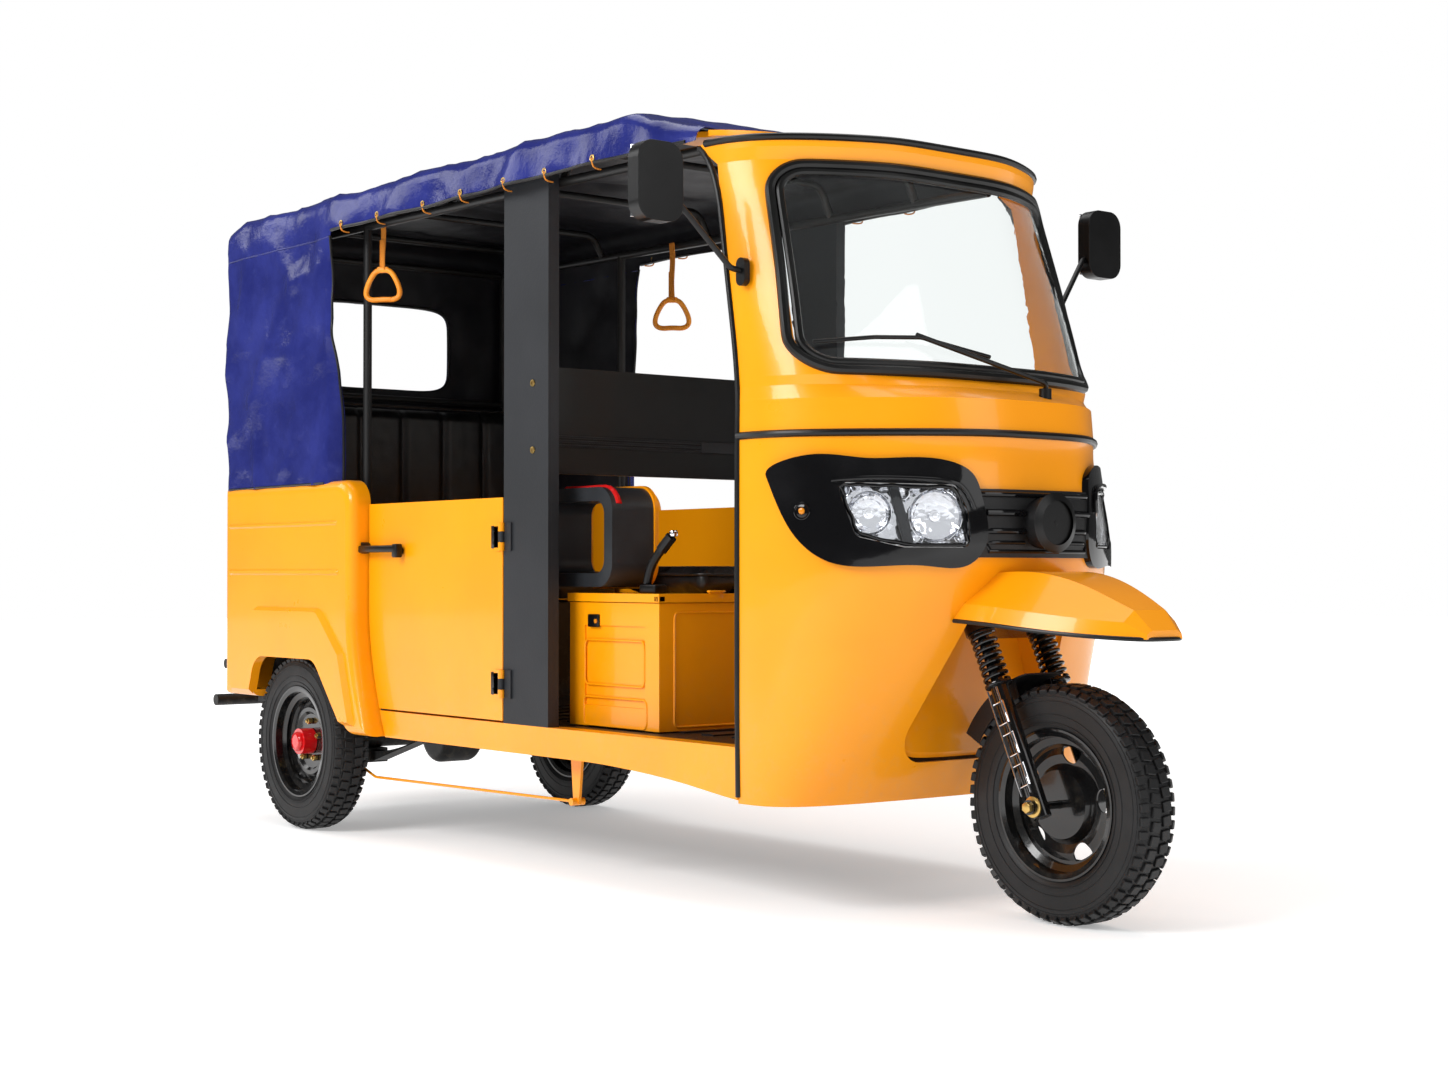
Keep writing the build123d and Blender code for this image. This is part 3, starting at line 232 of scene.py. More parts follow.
# %% Floor finish
floor_finish = Finish("pale_floor", Base_Color=(0.93, 0.93, 0.93, 1), Emission_Strength=1.0)
floor_finish.feed(Roughness=floor_finish.noise(3.0) * 0.1 + 0.72)
away = floor_finish.node("ShaderNodeVectorMath", {"operation": "LENGTH"},
                         {0: floor_finish.place}, 1)
GLOW_NEAR = 2.4
GLOW_FAR = 7.0
far = floor_finish.mask(away, GLOW_NEAR, GLOW_FAR)
floor_finish.feed(Emission_Color=floor_finish.mix(far, (0.33, 0.33, 0.33, 1), (1, 1, 1, 1)))
floor.data.materials.append(floor_finish.material)
print("floor finish:", floor_finish.material.name)

# %% [markdown]
# Sprayed enamel is never one colour. There is a faint ripple in it, called orange peel, a slow
# drift of tone, dust that settles low down, and a clear skin on top that takes the highlights.
# A helper makes that for any colour, and the slots of the frame's pieces then get it.


# %% Painted metal
def enamel(name, colour, deep, rough, coat, peel=0.0006, dust=0.0):
    """Sprayed paint with orange peel, a drift of tone and a little dust low down."""
    paint = Finish(name, Coat_Weight=coat, Coat_Roughness=0.06, Roughness=rough,
                   Specular_IOR_Level=0.3)
    drift = paint.mask(paint.noise(2.6, 4.0), 0.35, 0.7)
    tone = paint.mix(drift, colour + (1,), deep + (1,))
    specks = paint.noise(34.0, 6.0, 0.7)
    low = paint.mask(paint.height, 0.75, 0.2) * paint.mask(specks, 0.45, 0.8) * dust
    tone = paint.mix(low, tone, (0.42, 0.36, 0.27, 1))
    paint.feed(Base_Color=tone)
    paint.feed(Roughness=paint.noise(9.0, 5.0) * 0.12 + (rough - 0.06) + low * 0.4)
    paint.bump(paint.noise(160.0, 2.0), peel, 0.25)
    return paint.material


yellow = enamel("golden_enamel", (0.92, 0.33, 0.002), (0.88, 0.30, 0.001), 0.30, 0.3, dust=0.12)
black_enamel = enamel("black_wheel_enamel", (0.003, 0.003, 0.0035), (0.005, 0.005, 0.005), 0.18,
                      0.5, dust=0.05)
chassis_black = enamel("chassis_black", (0.006, 0.006, 0.0065), (0.011, 0.010, 0.009), 0.5, 0.1,
                       dust=0.15)
charcoal = enamel("charcoal_powder_coat", (0.015, 0.0165, 0.019), (0.020, 0.0215, 0.025), 0.5,
                  0.0, peel=0.0012)
board_black = enamel("satin_board_black", (0.003, 0.003, 0.003), (0.005, 0.005, 0.005), 0.4,
                     0.1)
red_enamel = enamel("red_enamel", (0.62, 0.006, 0.008), (0.5, 0.004, 0.006), 0.22, 0.7)
print("paints are mixed")

# %% [markdown]
# Moulded plastic and rubber differ in gloss and grain. Gloss black reflects like piano lacquer;
# the matte kind has a fine leather-like grain that only shows as broken highlights. Plated metal
# is cloudy and lightly scratched.


# %% Plastic, rubber and metal
def moulded(name, colour, rough, grain, depth, spread=0.08):
    """Moulded plastic or rubber with a grain of its own size and depth."""
    stuff = Finish(name, Roughness=rough, Specular_IOR_Level=0.35)
    cloud = stuff.noise(6.0, 4.0)
    paler = tuple(min(1.0, c * 1.5 + 0.004) for c in colour)
    stuff.feed(Base_Color=stuff.mix(stuff.mask(cloud, 0.4, 0.75), colour + (1,), paler + (1,)))
    stuff.feed(Roughness=stuff.noise(22.0, 4.0) * spread + (rough - spread / 2))
    stuff.bump(stuff.noise(grain, 4.0, 0.6), depth, 0.4)
    return stuff.material


gloss_black = moulded("gloss_black_moulding", (0.003, 0.003, 0.0035), 0.07, 60.0, 0.0002, 0.04)
grained_black = moulded("grained_black_moulding", (0.006, 0.006, 0.0065), 0.42, 900.0, 0.0006)
satin_black = moulded("satin_black_moulding", (0.001, 0.001, 0.0012), 0.34, 700.0, 0.0004)
grey_moulding = moulded("dark_grey_moulding", (0.018, 0.020, 0.023), 0.4, 700.0, 0.0004)
seal_rubber = moulded("seal_rubber", (0.003, 0.003, 0.003), 0.35, 300.0, 0.0005)
tyre_rubber = moulded("tyre_rubber", (0.006, 0.006, 0.0065), 0.5, 420.0, 0.0009, 0.16)
red_lens = moulded("red_lens", (0.55, 0.01, 0.01), 0.12, 200.0, 0.0003)
plate_white = moulded("blank_plate_paint", (0.45, 0.45, 0.43), 0.4, 300.0, 0.0003)
amber_lens = moulded("amber_lens", (0.6, 0.2, 0.01), 0.12, 200.0, 0.0003)
strap_plastic = moulded("orange_grip_plastic", (0.78, 0.24, 0.015), 0.38, 300.0, 0.0005)


def bare_metal(name, colour, rough):
    """Plated or bare metal with a slight cloudiness and fine scratches."""
    plate = Finish(name, Metallic=1.0, Roughness=rough)
    haze = plate.noise(40.0, 5.0)
    scratch = plate.noise(120.0, 3.0, 0.6, plate.stretch(1.0, 12.0, 1.0))
    shade = tuple(c * 0.8 for c in colour)
    plate.feed(Base_Color=plate.mix(haze, colour + (1,), shade + (1,)))
    plate.feed(Roughness=haze * 0.12 + scratch * 0.08 + (rough - 0.08))
    return plate.material


chrome = bare_metal("bright_plating", (0.86, 0.87, 0.9), 0.12)
brass = bare_metal("brass_passivated", (0.75, 0.5, 0.16), 0.3)
steel = bare_metal("zinc_steel", (0.55, 0.56, 0.58), 0.35)
cast_iron = moulded("painted_casting", (0.008, 0.008, 0.0085), 0.45, 260.0, 0.0015)

lens = Finish("clear_lens", Roughness=0.03, IOR=1.45, Transmission_Weight=1.0,
              Base_Color=(0.98, 0.99, 1.0, 1))
lens.bump(lens.noise(26.0, 2.0), 0.0004, 0.15)
lens_clear = lens.material
pane = Finish("laminated_glass", Roughness=0.0, IOR=1.3, Transmission_Weight=1.0,
              Base_Color=(0.93, 0.97, 0.96, 1))
pane.feed(Roughness=pane.noise(5.0, 5.0) * 0.02)
screen_pane = pane.material
print("plastics, rubber, metals and glass are ready")

# %% [markdown]
# Vinyl on seats is a pebbled skin with a soft shine, and worn places are smoother. The canopy is
# woven cloth coated in blue plastic: glossy, creased in all directions and scuffed pale on folds.

# %% Vinyl, canopy cloth and webbing
seat = Finish("black_vinyl", Roughness=0.38)
pebble = seat.node("ShaderNodeTexVoronoi", {"feature": "F1"},
                   {"Vector": seat.place, "Scale": 420.0})
crease = seat.noise(11.0, 5.0, 0.6)
seat.feed(Base_Color=seat.mix(seat.mask(crease, 0.4, 0.7), (0.005, 0.005, 0.0055, 1),
                              (0.011, 0.0105, 0.0105, 1)))
seat.feed(Roughness=crease * 0.22 + 0.26)
seat.bump(pebble * 0.35 + crease, 0.0022, 0.5)
seat_vinyl = seat.material

cloth = Finish("blue_coated_cloth", Roughness=0.2, Coat_Weight=0.04, Coat_Roughness=0.08,
               Specular_IOR_Level=0.14)
fold = cloth.noise(5.5, 6.0, 0.62)
fine = cloth.noise(26.0, 5.0, 0.65)
scuff = cloth.mask(cloth.noise(14.0, 8.0, 0.75), 0.56, 0.78)
blue = cloth.mix(cloth.mask(fold, 0.3, 0.75), (0.012, 0.016, 0.110, 1), (0.024, 0.031, 0.18, 1))
cloth.feed(Base_Color=cloth.mix(scuff * 0.2, blue, (0.07, 0.09, 0.32, 1)))
cloth.feed(Roughness=fine * 0.12 + scuff * 0.1 + 0.09)
thread_x = cloth.node("ShaderNodeTexWave", {"bands_direction": "X"},
                      {"Vector": cloth.place, "Scale": 260.0})
thread_z = cloth.node("ShaderNodeTexWave", {"bands_direction": "Z"},
                      {"Vector": cloth.place, "Scale": 260.0})
cloth.bump(fold * 3.0 + fine * 0.5 + (thread_x + thread_z) * 0.006, 0.005, 0.4)
canopy_blue = cloth.material

lining = moulded("black_canopy_lining", (0.006, 0.006, 0.009), 0.55, 500.0, 0.0008)

web = Finish("orange_webbing", Roughness=0.7)
weave = web.node("ShaderNodeTexWave", {"bands_direction": "Z"},
                 {"Vector": web.place, "Scale": 330.0, "Distortion": 0.5})
web.feed(Base_Color=web.mix(weave * 0.6, (0.80, 0.27, 0.015, 1), (0.55, 0.15, 0.008, 1)))
web.bump(weave, 0.0008, 0.6)
webbing = web.material
print("fabrics are ready")

# %% [markdown]
# Pieces of the frame whose shape is already right keep their mesh. Assigning to the material
# slots of their objects is all that they need.

# %% Finish the frame's own pieces
FINISHES = {
    yellow: ["nose_shell", "windscreen_frame", "front_peak", "side_sills", "rear_quarter_right",
             "rear_quarter_left", "rear_panel", "door_right", "door_left", "seat_box",
             "seat_box_lid", "arm_rest_rims", "front_wheel_well", "brake_linkage"],
    black_enamel: ["front_rim", "rear_rim_right", "rear_rim_left", "fork_legs", "steering_yoke"],
    chassis_black: ["frame_rails", "rear_axle", "leaf_springs", "rear_bumper", "wheelhouses",
                    "rear_bench_base", "roof_frame"],
    charcoal: ["b_pillars"],
    board_black: ["partition_board"],
    gloss_black: ["headlamp_bezels"],
    grained_black: ["floor_pan", "front_grille", "dashboard", "inner_mudguard",
                    "handlebar"],
    satin_black: ["mirrors", "wiper"],
    grey_moulding: ["arm_rests"],
    cast_iron: ["engine_block", "propeller_shaft"],
    chrome: ["headlamp_reflectors"],
    lens_clear: ["headlamp_lenses"],
    screen_pane: ["windscreen_glass"],
    red_lens: ["tail_lamps"],
    red_enamel: ["hub_cap_right", "hub_cap_left"],
    tyre_rubber: ["front_tyre", "rear_tyre_right", "rear_tyre_left"],
    canopy_blue: ["canopy"],
    seat_vinyl: ["driver_cushion", "rear_cushion", "rear_backrest"],
    webbing: ["grab_straps"],
}
finished = set()
for finish, names in FINISHES.items():
    for name in names:
        for slot in nodes[name].material_slots:
            slot.link = "OBJECT"
            slot.material = finish
        finished.add(name)
print("finished:", len(finished), "still plain:", sorted(set(nodes) - finished))


# %% [markdown]
# The small parts are modelled as by hand: add a primitive, pick faces by where they are, extrude
# or bevel, and apply the modifiers. Four helpers keep each step to a line or two.

# %% Modelling helpers
def clear():
    """Leaves edit mode and selects nothing."""
    if bpy.context.object and bpy.context.object.mode != "OBJECT":
        bpy.ops.object.mode_set(mode="OBJECT")
    bpy.ops.object.select_all(action="DESELECT")


def take(piece):
    """Makes one piece the only selected and active one."""
    clear()
    piece.select_set(True)
    bpy.context.view_layer.objects.active = piece
    return piece


def edit_faces(piece, test):
    """Enters edit mode with the faces selected whose centre and normal pass the test."""
    take(piece)
    bpy.context.tool_settings.mesh_select_mode = (False, False, True)
    bpy.ops.object.mode_set(mode="EDIT")
    bpy.ops.mesh.select_all(action="DESELECT")
    bpy.ops.object.mode_set(mode="OBJECT")
    for face in piece.data.polygons:
        face.select = bool(test(face.center, face.normal))
    bpy.ops.object.mode_set(mode="EDIT")


def shape(piece, kind, **settings):
    """Adds a modifier with its settings and applies it."""
    take(piece)
    modifier = piece.modifiers.new(kind.lower(), kind)
    for key, value in settings.items():
        setattr(modifier, key, value)
    bpy.ops.object.modifier_apply(modifier=modifier.name)
    return piece


def box(centre, size, round_by=0.0, segments=2):
    """A box at a place, with its edges rounded."""
    clear()
    bpy.ops.mesh.primitive_cube_add(size=1, location=centre)
    piece = bpy.context.object
    piece.scale = size
    bpy.ops.object.transform_apply(location=False, rotation=False, scale=True)
    if round_by:
        shape(piece, "BEVEL", width=round_by, segments=segments)
    return piece


def drum(centre, radius, depth, axis="Y", sides=40, round_by=0.0):
    """A round boss along an axis, with its rims rounded."""
    clear()
    turn = {"X": (0, math.pi / 2, 0), "Y": (math.pi / 2, 0, 0), "Z": (0, 0, 0)}[axis]
    bpy.ops.mesh.primitive_cylinder_add(vertices=sides, radius=radius, depth=depth,
                                        location=centre, rotation=turn)
    piece = bpy.context.object
    bpy.ops.object.transform_apply(location=True, rotation=True, scale=True)
    if round_by:
        shape(piece, "BEVEL", width=round_by, segments=2, limit_method="ANGLE",
              angle_limit=math.radians(50))
    return piece


def cable(points, radius, closed=False, smooth=True, sides=3):
    """A round bar or bead along points, turned into a mesh."""
    clear()
    data = bpy.data.curves.new("path", "CURVE")
    data.dimensions = "3D"
    data.bevel_depth = radius
    data.bevel_resolution = sides
    data.resolution_u = 6
    data.use_fill_caps = True
    line = data.splines.new("NURBS" if smooth else "POLY")
    line.points.add(len(points) - 1)
    for knot, point in zip(line.points, points):
        knot.co = (*point, 1)
    if smooth:
        line.order_u = 3
        line.use_endpoint_u = not closed
    line.use_cyclic_u = closed
    piece = bpy.data.objects.new("path", data)
    bpy.context.scene.collection.objects.link(piece)
    take(piece)
    bpy.ops.object.convert(target="MESH")
    return bpy.context.object


def join(pieces):
    """Joins pieces into the first one."""
    clear()
    for piece in pieces:
        piece.select_set(True)
    bpy.context.view_layer.objects.active = pieces[0]
    if len(pieces) > 1:
        bpy.ops.object.join()
    return bpy.context.object


def settle(piece, name, finish, body="chassis", angle=35):
    """Applies the piece's place, smooths it, names it, finishes it and lets it ride."""
    take(piece)
    bpy.ops.object.transform_apply(location=True, rotation=True, scale=True)
    bpy.ops.object.shade_smooth_by_angle(angle=math.radians(angle))
    piece.name = name
    piece.data.materials.clear()
    piece.data.materials.append(finish)
    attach(piece, body)
    return piece


def mirrored(piece, name, body):
    """A copy on the other side of the centre line, with its own mesh."""
    twin = piece.copy()
    twin.data = piece.data.copy()
    bpy.context.scene.collection.objects.link(twin)
    twin.parent = None
    twin.matrix_world = Matrix.Identity(4)
    twin.name = name
    take(twin)
    bpy.ops.object.mode_set(mode="EDIT")
    bpy.ops.mesh.select_all(action="SELECT")
    bpy.ops.transform.mirror(constraint_axis=(False, True, False), center_override=(0, 0, 0))
    bpy.ops.mesh.normals_make_consistent(inside=False)
    bpy.ops.object.mode_set(mode="OBJECT")
    centre = sum((v.co.y for v in twin.data.vertices), 0.0) / len(twin.data.vertices)
    was = sum((v.co.y for v in piece.data.vertices), 0.0) / len(piece.data.vertices)
    assert abs(centre + was) < 0.002, (name, centre, was)
    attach(twin, body)
    return twin


def pair(piece, name, finish, angle=35, bodies=("chassis", "chassis")):
    """Settles a piece of the right side, and its mirror image on the left."""
    right = settle(piece, name + "_right", finish, bodies[0], angle)
    mirrored(right, name + "_left", bodies[1])


print("modelling helpers are ready")

# %% [markdown]
# Rubber beads follow the steel skin. A ray shot from outside towards the cab finds the skin, so
# the beads lie on it wherever it curves. The screen seal is two fat lips, one on the steel and
# one on the glass.

# %% Find the skin
def skin_of(names):
    """A search tree over the triangles of some of the frame's pieces."""
    points = []
    faces = []
    for name in names:
        mesh = nodes[name].data
        base = len(points)
        points += [v.co.copy() for v in mesh.vertices]
        faces += [[base + i for i in face.vertices] for face in mesh.polygons]
    return BVHTree.FromPolygons(points, faces)


front_skin = skin_of(["nose_shell", "windscreen_frame", "windscreen_glass"])
CAB_X = 0.70


def on_front(turn, z, lift=0.0):
    """The point of the front skin seen from the cab's middle at a turn and a height."""
    ray = Vector((math.cos(math.radians(turn)), math.sin(math.radians(turn)), 0))
    hit, normal, face, reach = front_skin.ray_cast(Vector((CAB_X, 0, z)) + ray * 2, -ray)
    return None if hit is None else hit + ray * lift


def before_front(y, z, lift=0.0):
    """The point of the front skin straight behind a point of the screen's outline."""
    hit, normal, face, reach = front_skin.ray_cast(Vector((3, y, z)), Vector((-1, 0, 0)))
    return None if hit is None else hit + Vector((lift, 0, 0))


def screen_outline(grow):
    """Points round the screen: wider at the foot, with round corners."""
    half_low, half_high, low, high, corner = 0.478, 0.452, 1.268, 1.752, 0.07
    corners = [(half_low - corner, low + corner, 270), (half_high - corner, high - corner, 0),
               (-half_high + corner, high - corner, 90), (-half_low + corner, low + corner, 180)]
    round_by = corner + grow
    return [(y + round_by * math.cos(math.radians(start + step)),
             z + round_by * math.sin(math.radians(start + step)))
            for y, z, start in corners for step in range(0, 91, 15)]


def spread(points, gap):
    """The same closed outline with points added along its long runs."""
    result = []
    for first, second in zip(points, points[1:] + points[:1]):
        a, b = Vector(first), Vector(second)
        steps = max(1, int((b - a).length / gap))
        result += [tuple(a.lerp(b, i / steps)) for i in range(steps)]
    return result


lips = []
for grow, radius in ((0.006, 0.013), (-0.012, 0.010)):
    path = [before_front(y, z, 0.001) for y, z in spread(screen_outline(grow), 0.05)]
    path = [p for p in path if p is not None]
    lips.append(cable(path, radius, closed=True))
settle(join(lips), "screen_seal", seal_rubber)
print("screen seal points:", len(path))

# %% [markdown]
# A black bead runs round the waist below the screen, and another edges the visor, goes down the
# sloping screen pillars and on along the nose's rear edge beside the driver's doorway.

# %% Waist bead, visor edge and doorway seals
waist = [on_front(turn, 1.116, 0.001) for turn in range(-64, 65, 4)]
waist = [p for p in waist if p is not None]
waist = [Vector((0.962, -0.522, 1.116))] + waist + [Vector((0.962, 0.522, 1.116))]
settle(cable(waist, 0.009), "waist_bead", seal_rubber)
visor = [on_front(turn, 1.8165, -0.001) for turn in range(-76, 77, 4)]
visor = [p for p in visor if p is not None]
visor = [p + Vector((0, 0, 0.006)) for p in visor]
settle(cable(visor, 0.009), "visor_edge", seal_rubber)
for side, label in ((-1, "right"), (1, "left")):
    drop = [(0.806, 0.514, 1.815), (0.868, 0.513, 1.768), (0.912, 0.5155, 1.52),
            (0.962, 0.519, 1.25), (0.961, 0.522, 1.11), (0.961, 0.522, 0.8),
            (0.961, 0.5215, 0.5), (0.961, 0.52, 0.34), (0.961, 0.519, 0.275)]
    drop = [(x, side * y, z) for x, y, z in drop]
    settle(cable(drop, 0.0075), "doorway_seal_" + label, seal_rubber)
peak_edge = [(1.352, 0.204, 0.688), (1.44, 0.2, 0.683), (1.56, 0.184, 0.671),
             (1.67, 0.146, 0.661), (1.752, 0.094, 0.655), (1.792, 0.060, 0.653)]
rim = [(x, -y, z) for x, y, z in peak_edge] + [(1.797, 0.0, 0.653)] + peak_edge[::-1]
settle(cable(rim, 0.005), "peak_edge_bead", seal_rubber)
print("waist bead points:", len(waist), "visor edge points:", len(visor))

# %% [markdown]
# A tyre starts as a flat rounded outline of its section, spun about the axle. The tread is one
# short row of blocks, shoulder to shoulder, spun as copies. Fine rings stand on the sidewalls.

# %% Tyres with tread
TYRE_R = 0.2725
RIM_R = 0.166
TREAD_DEPTH = 0.006
TREAD_ROWS = 54


def edit_whole(piece):
    """Enters edit mode with the whole piece selected."""
    take(piece)
    bpy.ops.object.mode_set(mode="EDIT")
    bpy.ops.mesh.select_all(action="SELECT")


def tyre(name, x, y, body):
    """A tyre on a wheel centre, ready to ride with its wheel."""
    high = TYRE_R - TREAD_DEPTH
    low = RIM_R - 0.004
    clear()
    bpy.ops.mesh.primitive_plane_add(size=1, location=(x, y, TYRE_R + (high + low) / 2),
                                     rotation=(0, math.pi / 2, 0))
    wall = bpy.context.object
    wall.scale = (high - low, 0.112, 1)
    bpy.ops.object.transform_apply(location=True, rotation=True, scale=True)
    edit_whole(wall)
    bpy.ops.mesh.bevel(offset=0.036, segments=7, affect="VERTICES", profile=0.55)
    bpy.ops.mesh.delete(type="ONLY_FACE")
    bpy.ops.mesh.select_all(action="SELECT")
    bpy.ops.mesh.spin(steps=96, angle=2 * math.pi, center=(x, y, TYRE_R), axis=(0, 1, 0))
    bpy.ops.mesh.select_all(action="SELECT")
    bpy.ops.mesh.remove_doubles(threshold=0.0005)
    bpy.ops.mesh.normals_make_consistent(inside=False)
    bpy.ops.object.mode_set(mode="OBJECT")
    blocks = []
    for across, wide, long, shift, tilt in ((-0.0445, 0.020, 0.020, 0.0, 0.25),
                                            (-0.0175, 0.026, 0.023, 0.012, -0.35),
                                            (0.0175, 0.026, 0.023, 0.0, 0.35),
                                            (0.0445, 0.020, 0.020, 0.012, -0.25)):
        drop = 0.007 if abs(across) > 0.03 else 0.0
        block = box((0, 0, 0), (long, wide, 0.014), 0.0015, 1)
        block.rotation_euler = (-0.5 * across / 0.0445 if drop else 0, 0, tilt * 0.4)
        block.location = (x + shift, y + across, 2 * TYRE_R - 0.007 - drop)
        take(block)
        bpy.ops.object.transform_apply(location=True, rotation=True, scale=True)
        blocks.append(block)
    row = join(blocks)
    edit_whole(row)
    bpy.ops.mesh.spin(steps=TREAD_ROWS - 1, angle=2 * math.pi * (TREAD_ROWS - 1) / TREAD_ROWS,
                      dupli=True, center=(x, y, TYRE_R), axis=(0, 1, 0))
    bpy.ops.object.mode_set(mode="OBJECT")
    rings = []
    for radius, out in ((0.246, 0.0535), (0.236, 0.0558), (0.205, 0.0562), (0.186, 0.0555)):
        for side in (-1, 1):
            clear()
            bpy.ops.mesh.primitive_torus_add(location=(x, y + side * out, TYRE_R),
                                             rotation=(math.pi / 2, 0, 0), major_radius=radius,
                                             minor_radius=0.0014, major_segments=80,
                                             minor_segments=6)
            rings.append(bpy.context.object)
    piece = join([wall, row] + rings)
    return settle(piece, name, tyre_rubber, body, 30)


AXLE_FRONT_X = 1.515
AXLE_REAR_X = -1.183
REAR_WHEEL_Y = 0.508
for name, x, y, body in (("front_tyre_treaded", AXLE_FRONT_X, 0, "front_wheel"),
                         ("rear_tyre_right_treaded", AXLE_REAR_X, -REAR_WHEEL_Y,
                          "rear_wheel_right"),
                         ("rear_tyre_left_treaded", AXLE_REAR_X, REAR_WHEEL_Y,
                          "rear_wheel_left")):
    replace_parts(tyre(name, x, y, body), name.replace("_treaded", ""))

# %% [markdown]
# Wheel furniture: five plated nuts and a stepped dust cap behind a wheel disc, a valve stem, and
# on the front axle a passivated washer and nut outside each fork leg.

# %% Nuts, caps and axle ends
def nut(centre, radius, depth, finish, name, body):
    """A six-sided nut with a domed end."""
    flat = drum(centre, radius, depth, "Y", 6, 0.001)
    stud = drum((centre[0], centre[1], centre[2]), radius * 0.55, depth * 1.7, "Y", 20, 0.001)
    return settle(join([flat, stud]), name, finish, body)


NUTS = 5
NUT_CIRCLE = 0.062
for side, label in ((-1, "right"), (1, "left")):
    face = side * (REAR_WHEEL_Y + 0.010)
    for i in range(NUTS):
        turn = math.radians(18 + 360 / NUTS * i)
        centre = (AXLE_REAR_X + NUT_CIRCLE * math.cos(turn), face,
                  TYRE_R + NUT_CIRCLE * math.sin(turn))
        nut(centre, 0.010, 0.014, brass, f"wheel_nut_{label}_{i}", "rear_wheel_" + label)
    dome = drum((AXLE_REAR_X, side * (REAR_WHEEL_Y + 0.050), TYRE_R), 0.030, 0.012, "Y", 40, 0.004)
    edit_faces(dome, lambda c, n, s=side: n.y * s > 0.9)
    bpy.ops.mesh.inset(thickness=0.008, depth=0.003)
    bpy.ops.object.mode_set(mode="OBJECT")
    settle(dome, "cap_dome_" + label, red_enamel, "rear_wheel_" + label)
for side, label in ((-1, "right"), (1, "left")):
    washer = drum((AXLE_FRONT_X, side * 0.1185, TYRE_R), 0.024, 0.006, "Y", 40, 0.0015)
    end = drum((AXLE_FRONT_X, side * 0.134, TYRE_R), 0.013, 0.016, "Y", 6, 0.001)
    settle(join([washer, end]), "axle_nut_" + label, brass, "steering")
print("wheel furniture is on")

# %% [markdown]
# The fork's coil springs are a circle swept up a screw. The screw modifier turns the wire's small
# circle about the raked leg, which is built upright first and then leaned back with the fork.

# %% Fork springs
RAKE = math.radians(25)
FORK_HALF = 0.098
HUB = Vector((AXLE_FRONT_X, 0, TYRE_R))
UP_LEG = Vector((-math.sin(RAKE), 0, math.cos(RAKE)))


def along_leg(reach, side_y, ahead=0.0):
    """A point at a distance up the raked fork leg."""
    return HUB + UP_LEG * reach + Vector((math.cos(RAKE), 0, math.sin(RAKE))) * ahead \
        + Vector((0, side_y, 0))


def spring(name, side_y):
    """A coil spring round a fork leg, with its two cups."""
    low, high, turns = 0.296, 0.422, 7
    clear()
    bpy.ops.mesh.primitive_circle_add(vertices=10, radius=0.0052, location=(0.0265, 0, 0),
                                      rotation=(math.pi / 2, 0, 0))
    wire = bpy.context.object
    take(wire)
    bpy.ops.object.transform_apply(location=True, rotation=True, scale=True)
    shape(wire, "SCREW", axis="Z", steps=22, render_steps=22, iterations=turns,
          screw_offset=(high - low - 0.012) / turns, use_merge_vertices=True,
          use_smooth_shade=True)
    edit_whole(wire)
    bpy.ops.mesh.normals_make_consistent(inside=False)
    bpy.ops.object.mode_set(mode="OBJECT")
    wire.location = (0, 0, 0.006)
    parts = [wire]
    for z in (0.0, high - low):
        cup = drum((0, 0, z), 0.0325, 0.008, "Z", 36, 0.002)
        parts.append(cup)
    piece = join(parts)
    take(piece)
    bpy.ops.object.transform_apply(location=True, rotation=True, scale=True)
    piece.matrix_world = Matrix.Translation(along_leg(low, side_y)) @ Matrix.Rotation(
        -RAKE, 4, "Y")
    return settle(piece, name, black_enamel, "steering")


right_spring = spring("fork_spring_right", -FORK_HALF)
spring("fork_spring_left", FORK_HALF)
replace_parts(right_spring, "fork_springs")
print("spring reaches up to", round(max(v.co.z for v in right_spring.data.vertices), 3))

# %% [markdown]
# Bright wire guards with square loops run down the outer face of each fork leg. A guard is one
# wire bent into a ladder.

# %% Fork wire guards
def guard(side, label):
    """A plated wire ladder on a fork leg."""
    y = side * 0.126
    rails = []
    for ahead in (-0.014, 0.016):
        rails.append(cable([along_leg(r, y, ahead) for r in (0.03, 0.12, 0.2, 0.285)], 0.0024))
    for low, high in ((0.05, 0.10), (0.125, 0.175), (0.2, 0.25)):
        loop = [along_leg(r, y - side * 0.003, a) for r, a in
                ((low, -0.017), (low, 0.019), (high, 0.019), (high, -0.017))]
        rails.append(cable(loop, 0.0028, closed=True, smooth=False))
    return settle(join(rails), "fork_guard_" + label, chrome, "steering")


guard(-1, "right")
guard(1, "left")
print("wire guards are on")


# %% [markdown]
# The canopy is one coated sheet pulled over hoops, with curtains that hang at the rear corners
# and a window in the back. A grid follows its section from one hem over the roof to the other,
# and a second patch closes the back round the window. Cloth like this creases in sharp ridges
# between slack fields, so ridged noise moves the sheet in and out along its normals.

# %% Canopy sheet
CANOPY_REAR_X = -1.671
CANOPY_BEND_X = 0.545
CANOPY_TIP_X = 0.812
CURTAIN_X = -0.936
CURTAIN_Z = 1.066
HEM_Z = 1.832
CROWN_Z = 1.968
REAR_HALF = 0.584
BEND_HALF = 0.556
TIP_HALF = 0.530
TAIL_DROP_X = -1.561
TAIL_DROP = 0.040
TIP_DROP = 0.078


def canopy_half(x):
    """Half the width of the canopy along its length."""
    if x < CANOPY_BEND_X:
        share = (x - CANOPY_REAR_X) / (CANOPY_BEND_X - CANOPY_REAR_X)
        return REAR_HALF + (BEND_HALF - REAR_HALF) * share
    share = (x - CANOPY_BEND_X) / (CANOPY_TIP_X - CANOPY_BEND_X)
    return BEND_HALF + (TIP_HALF - BEND_HALF) * share


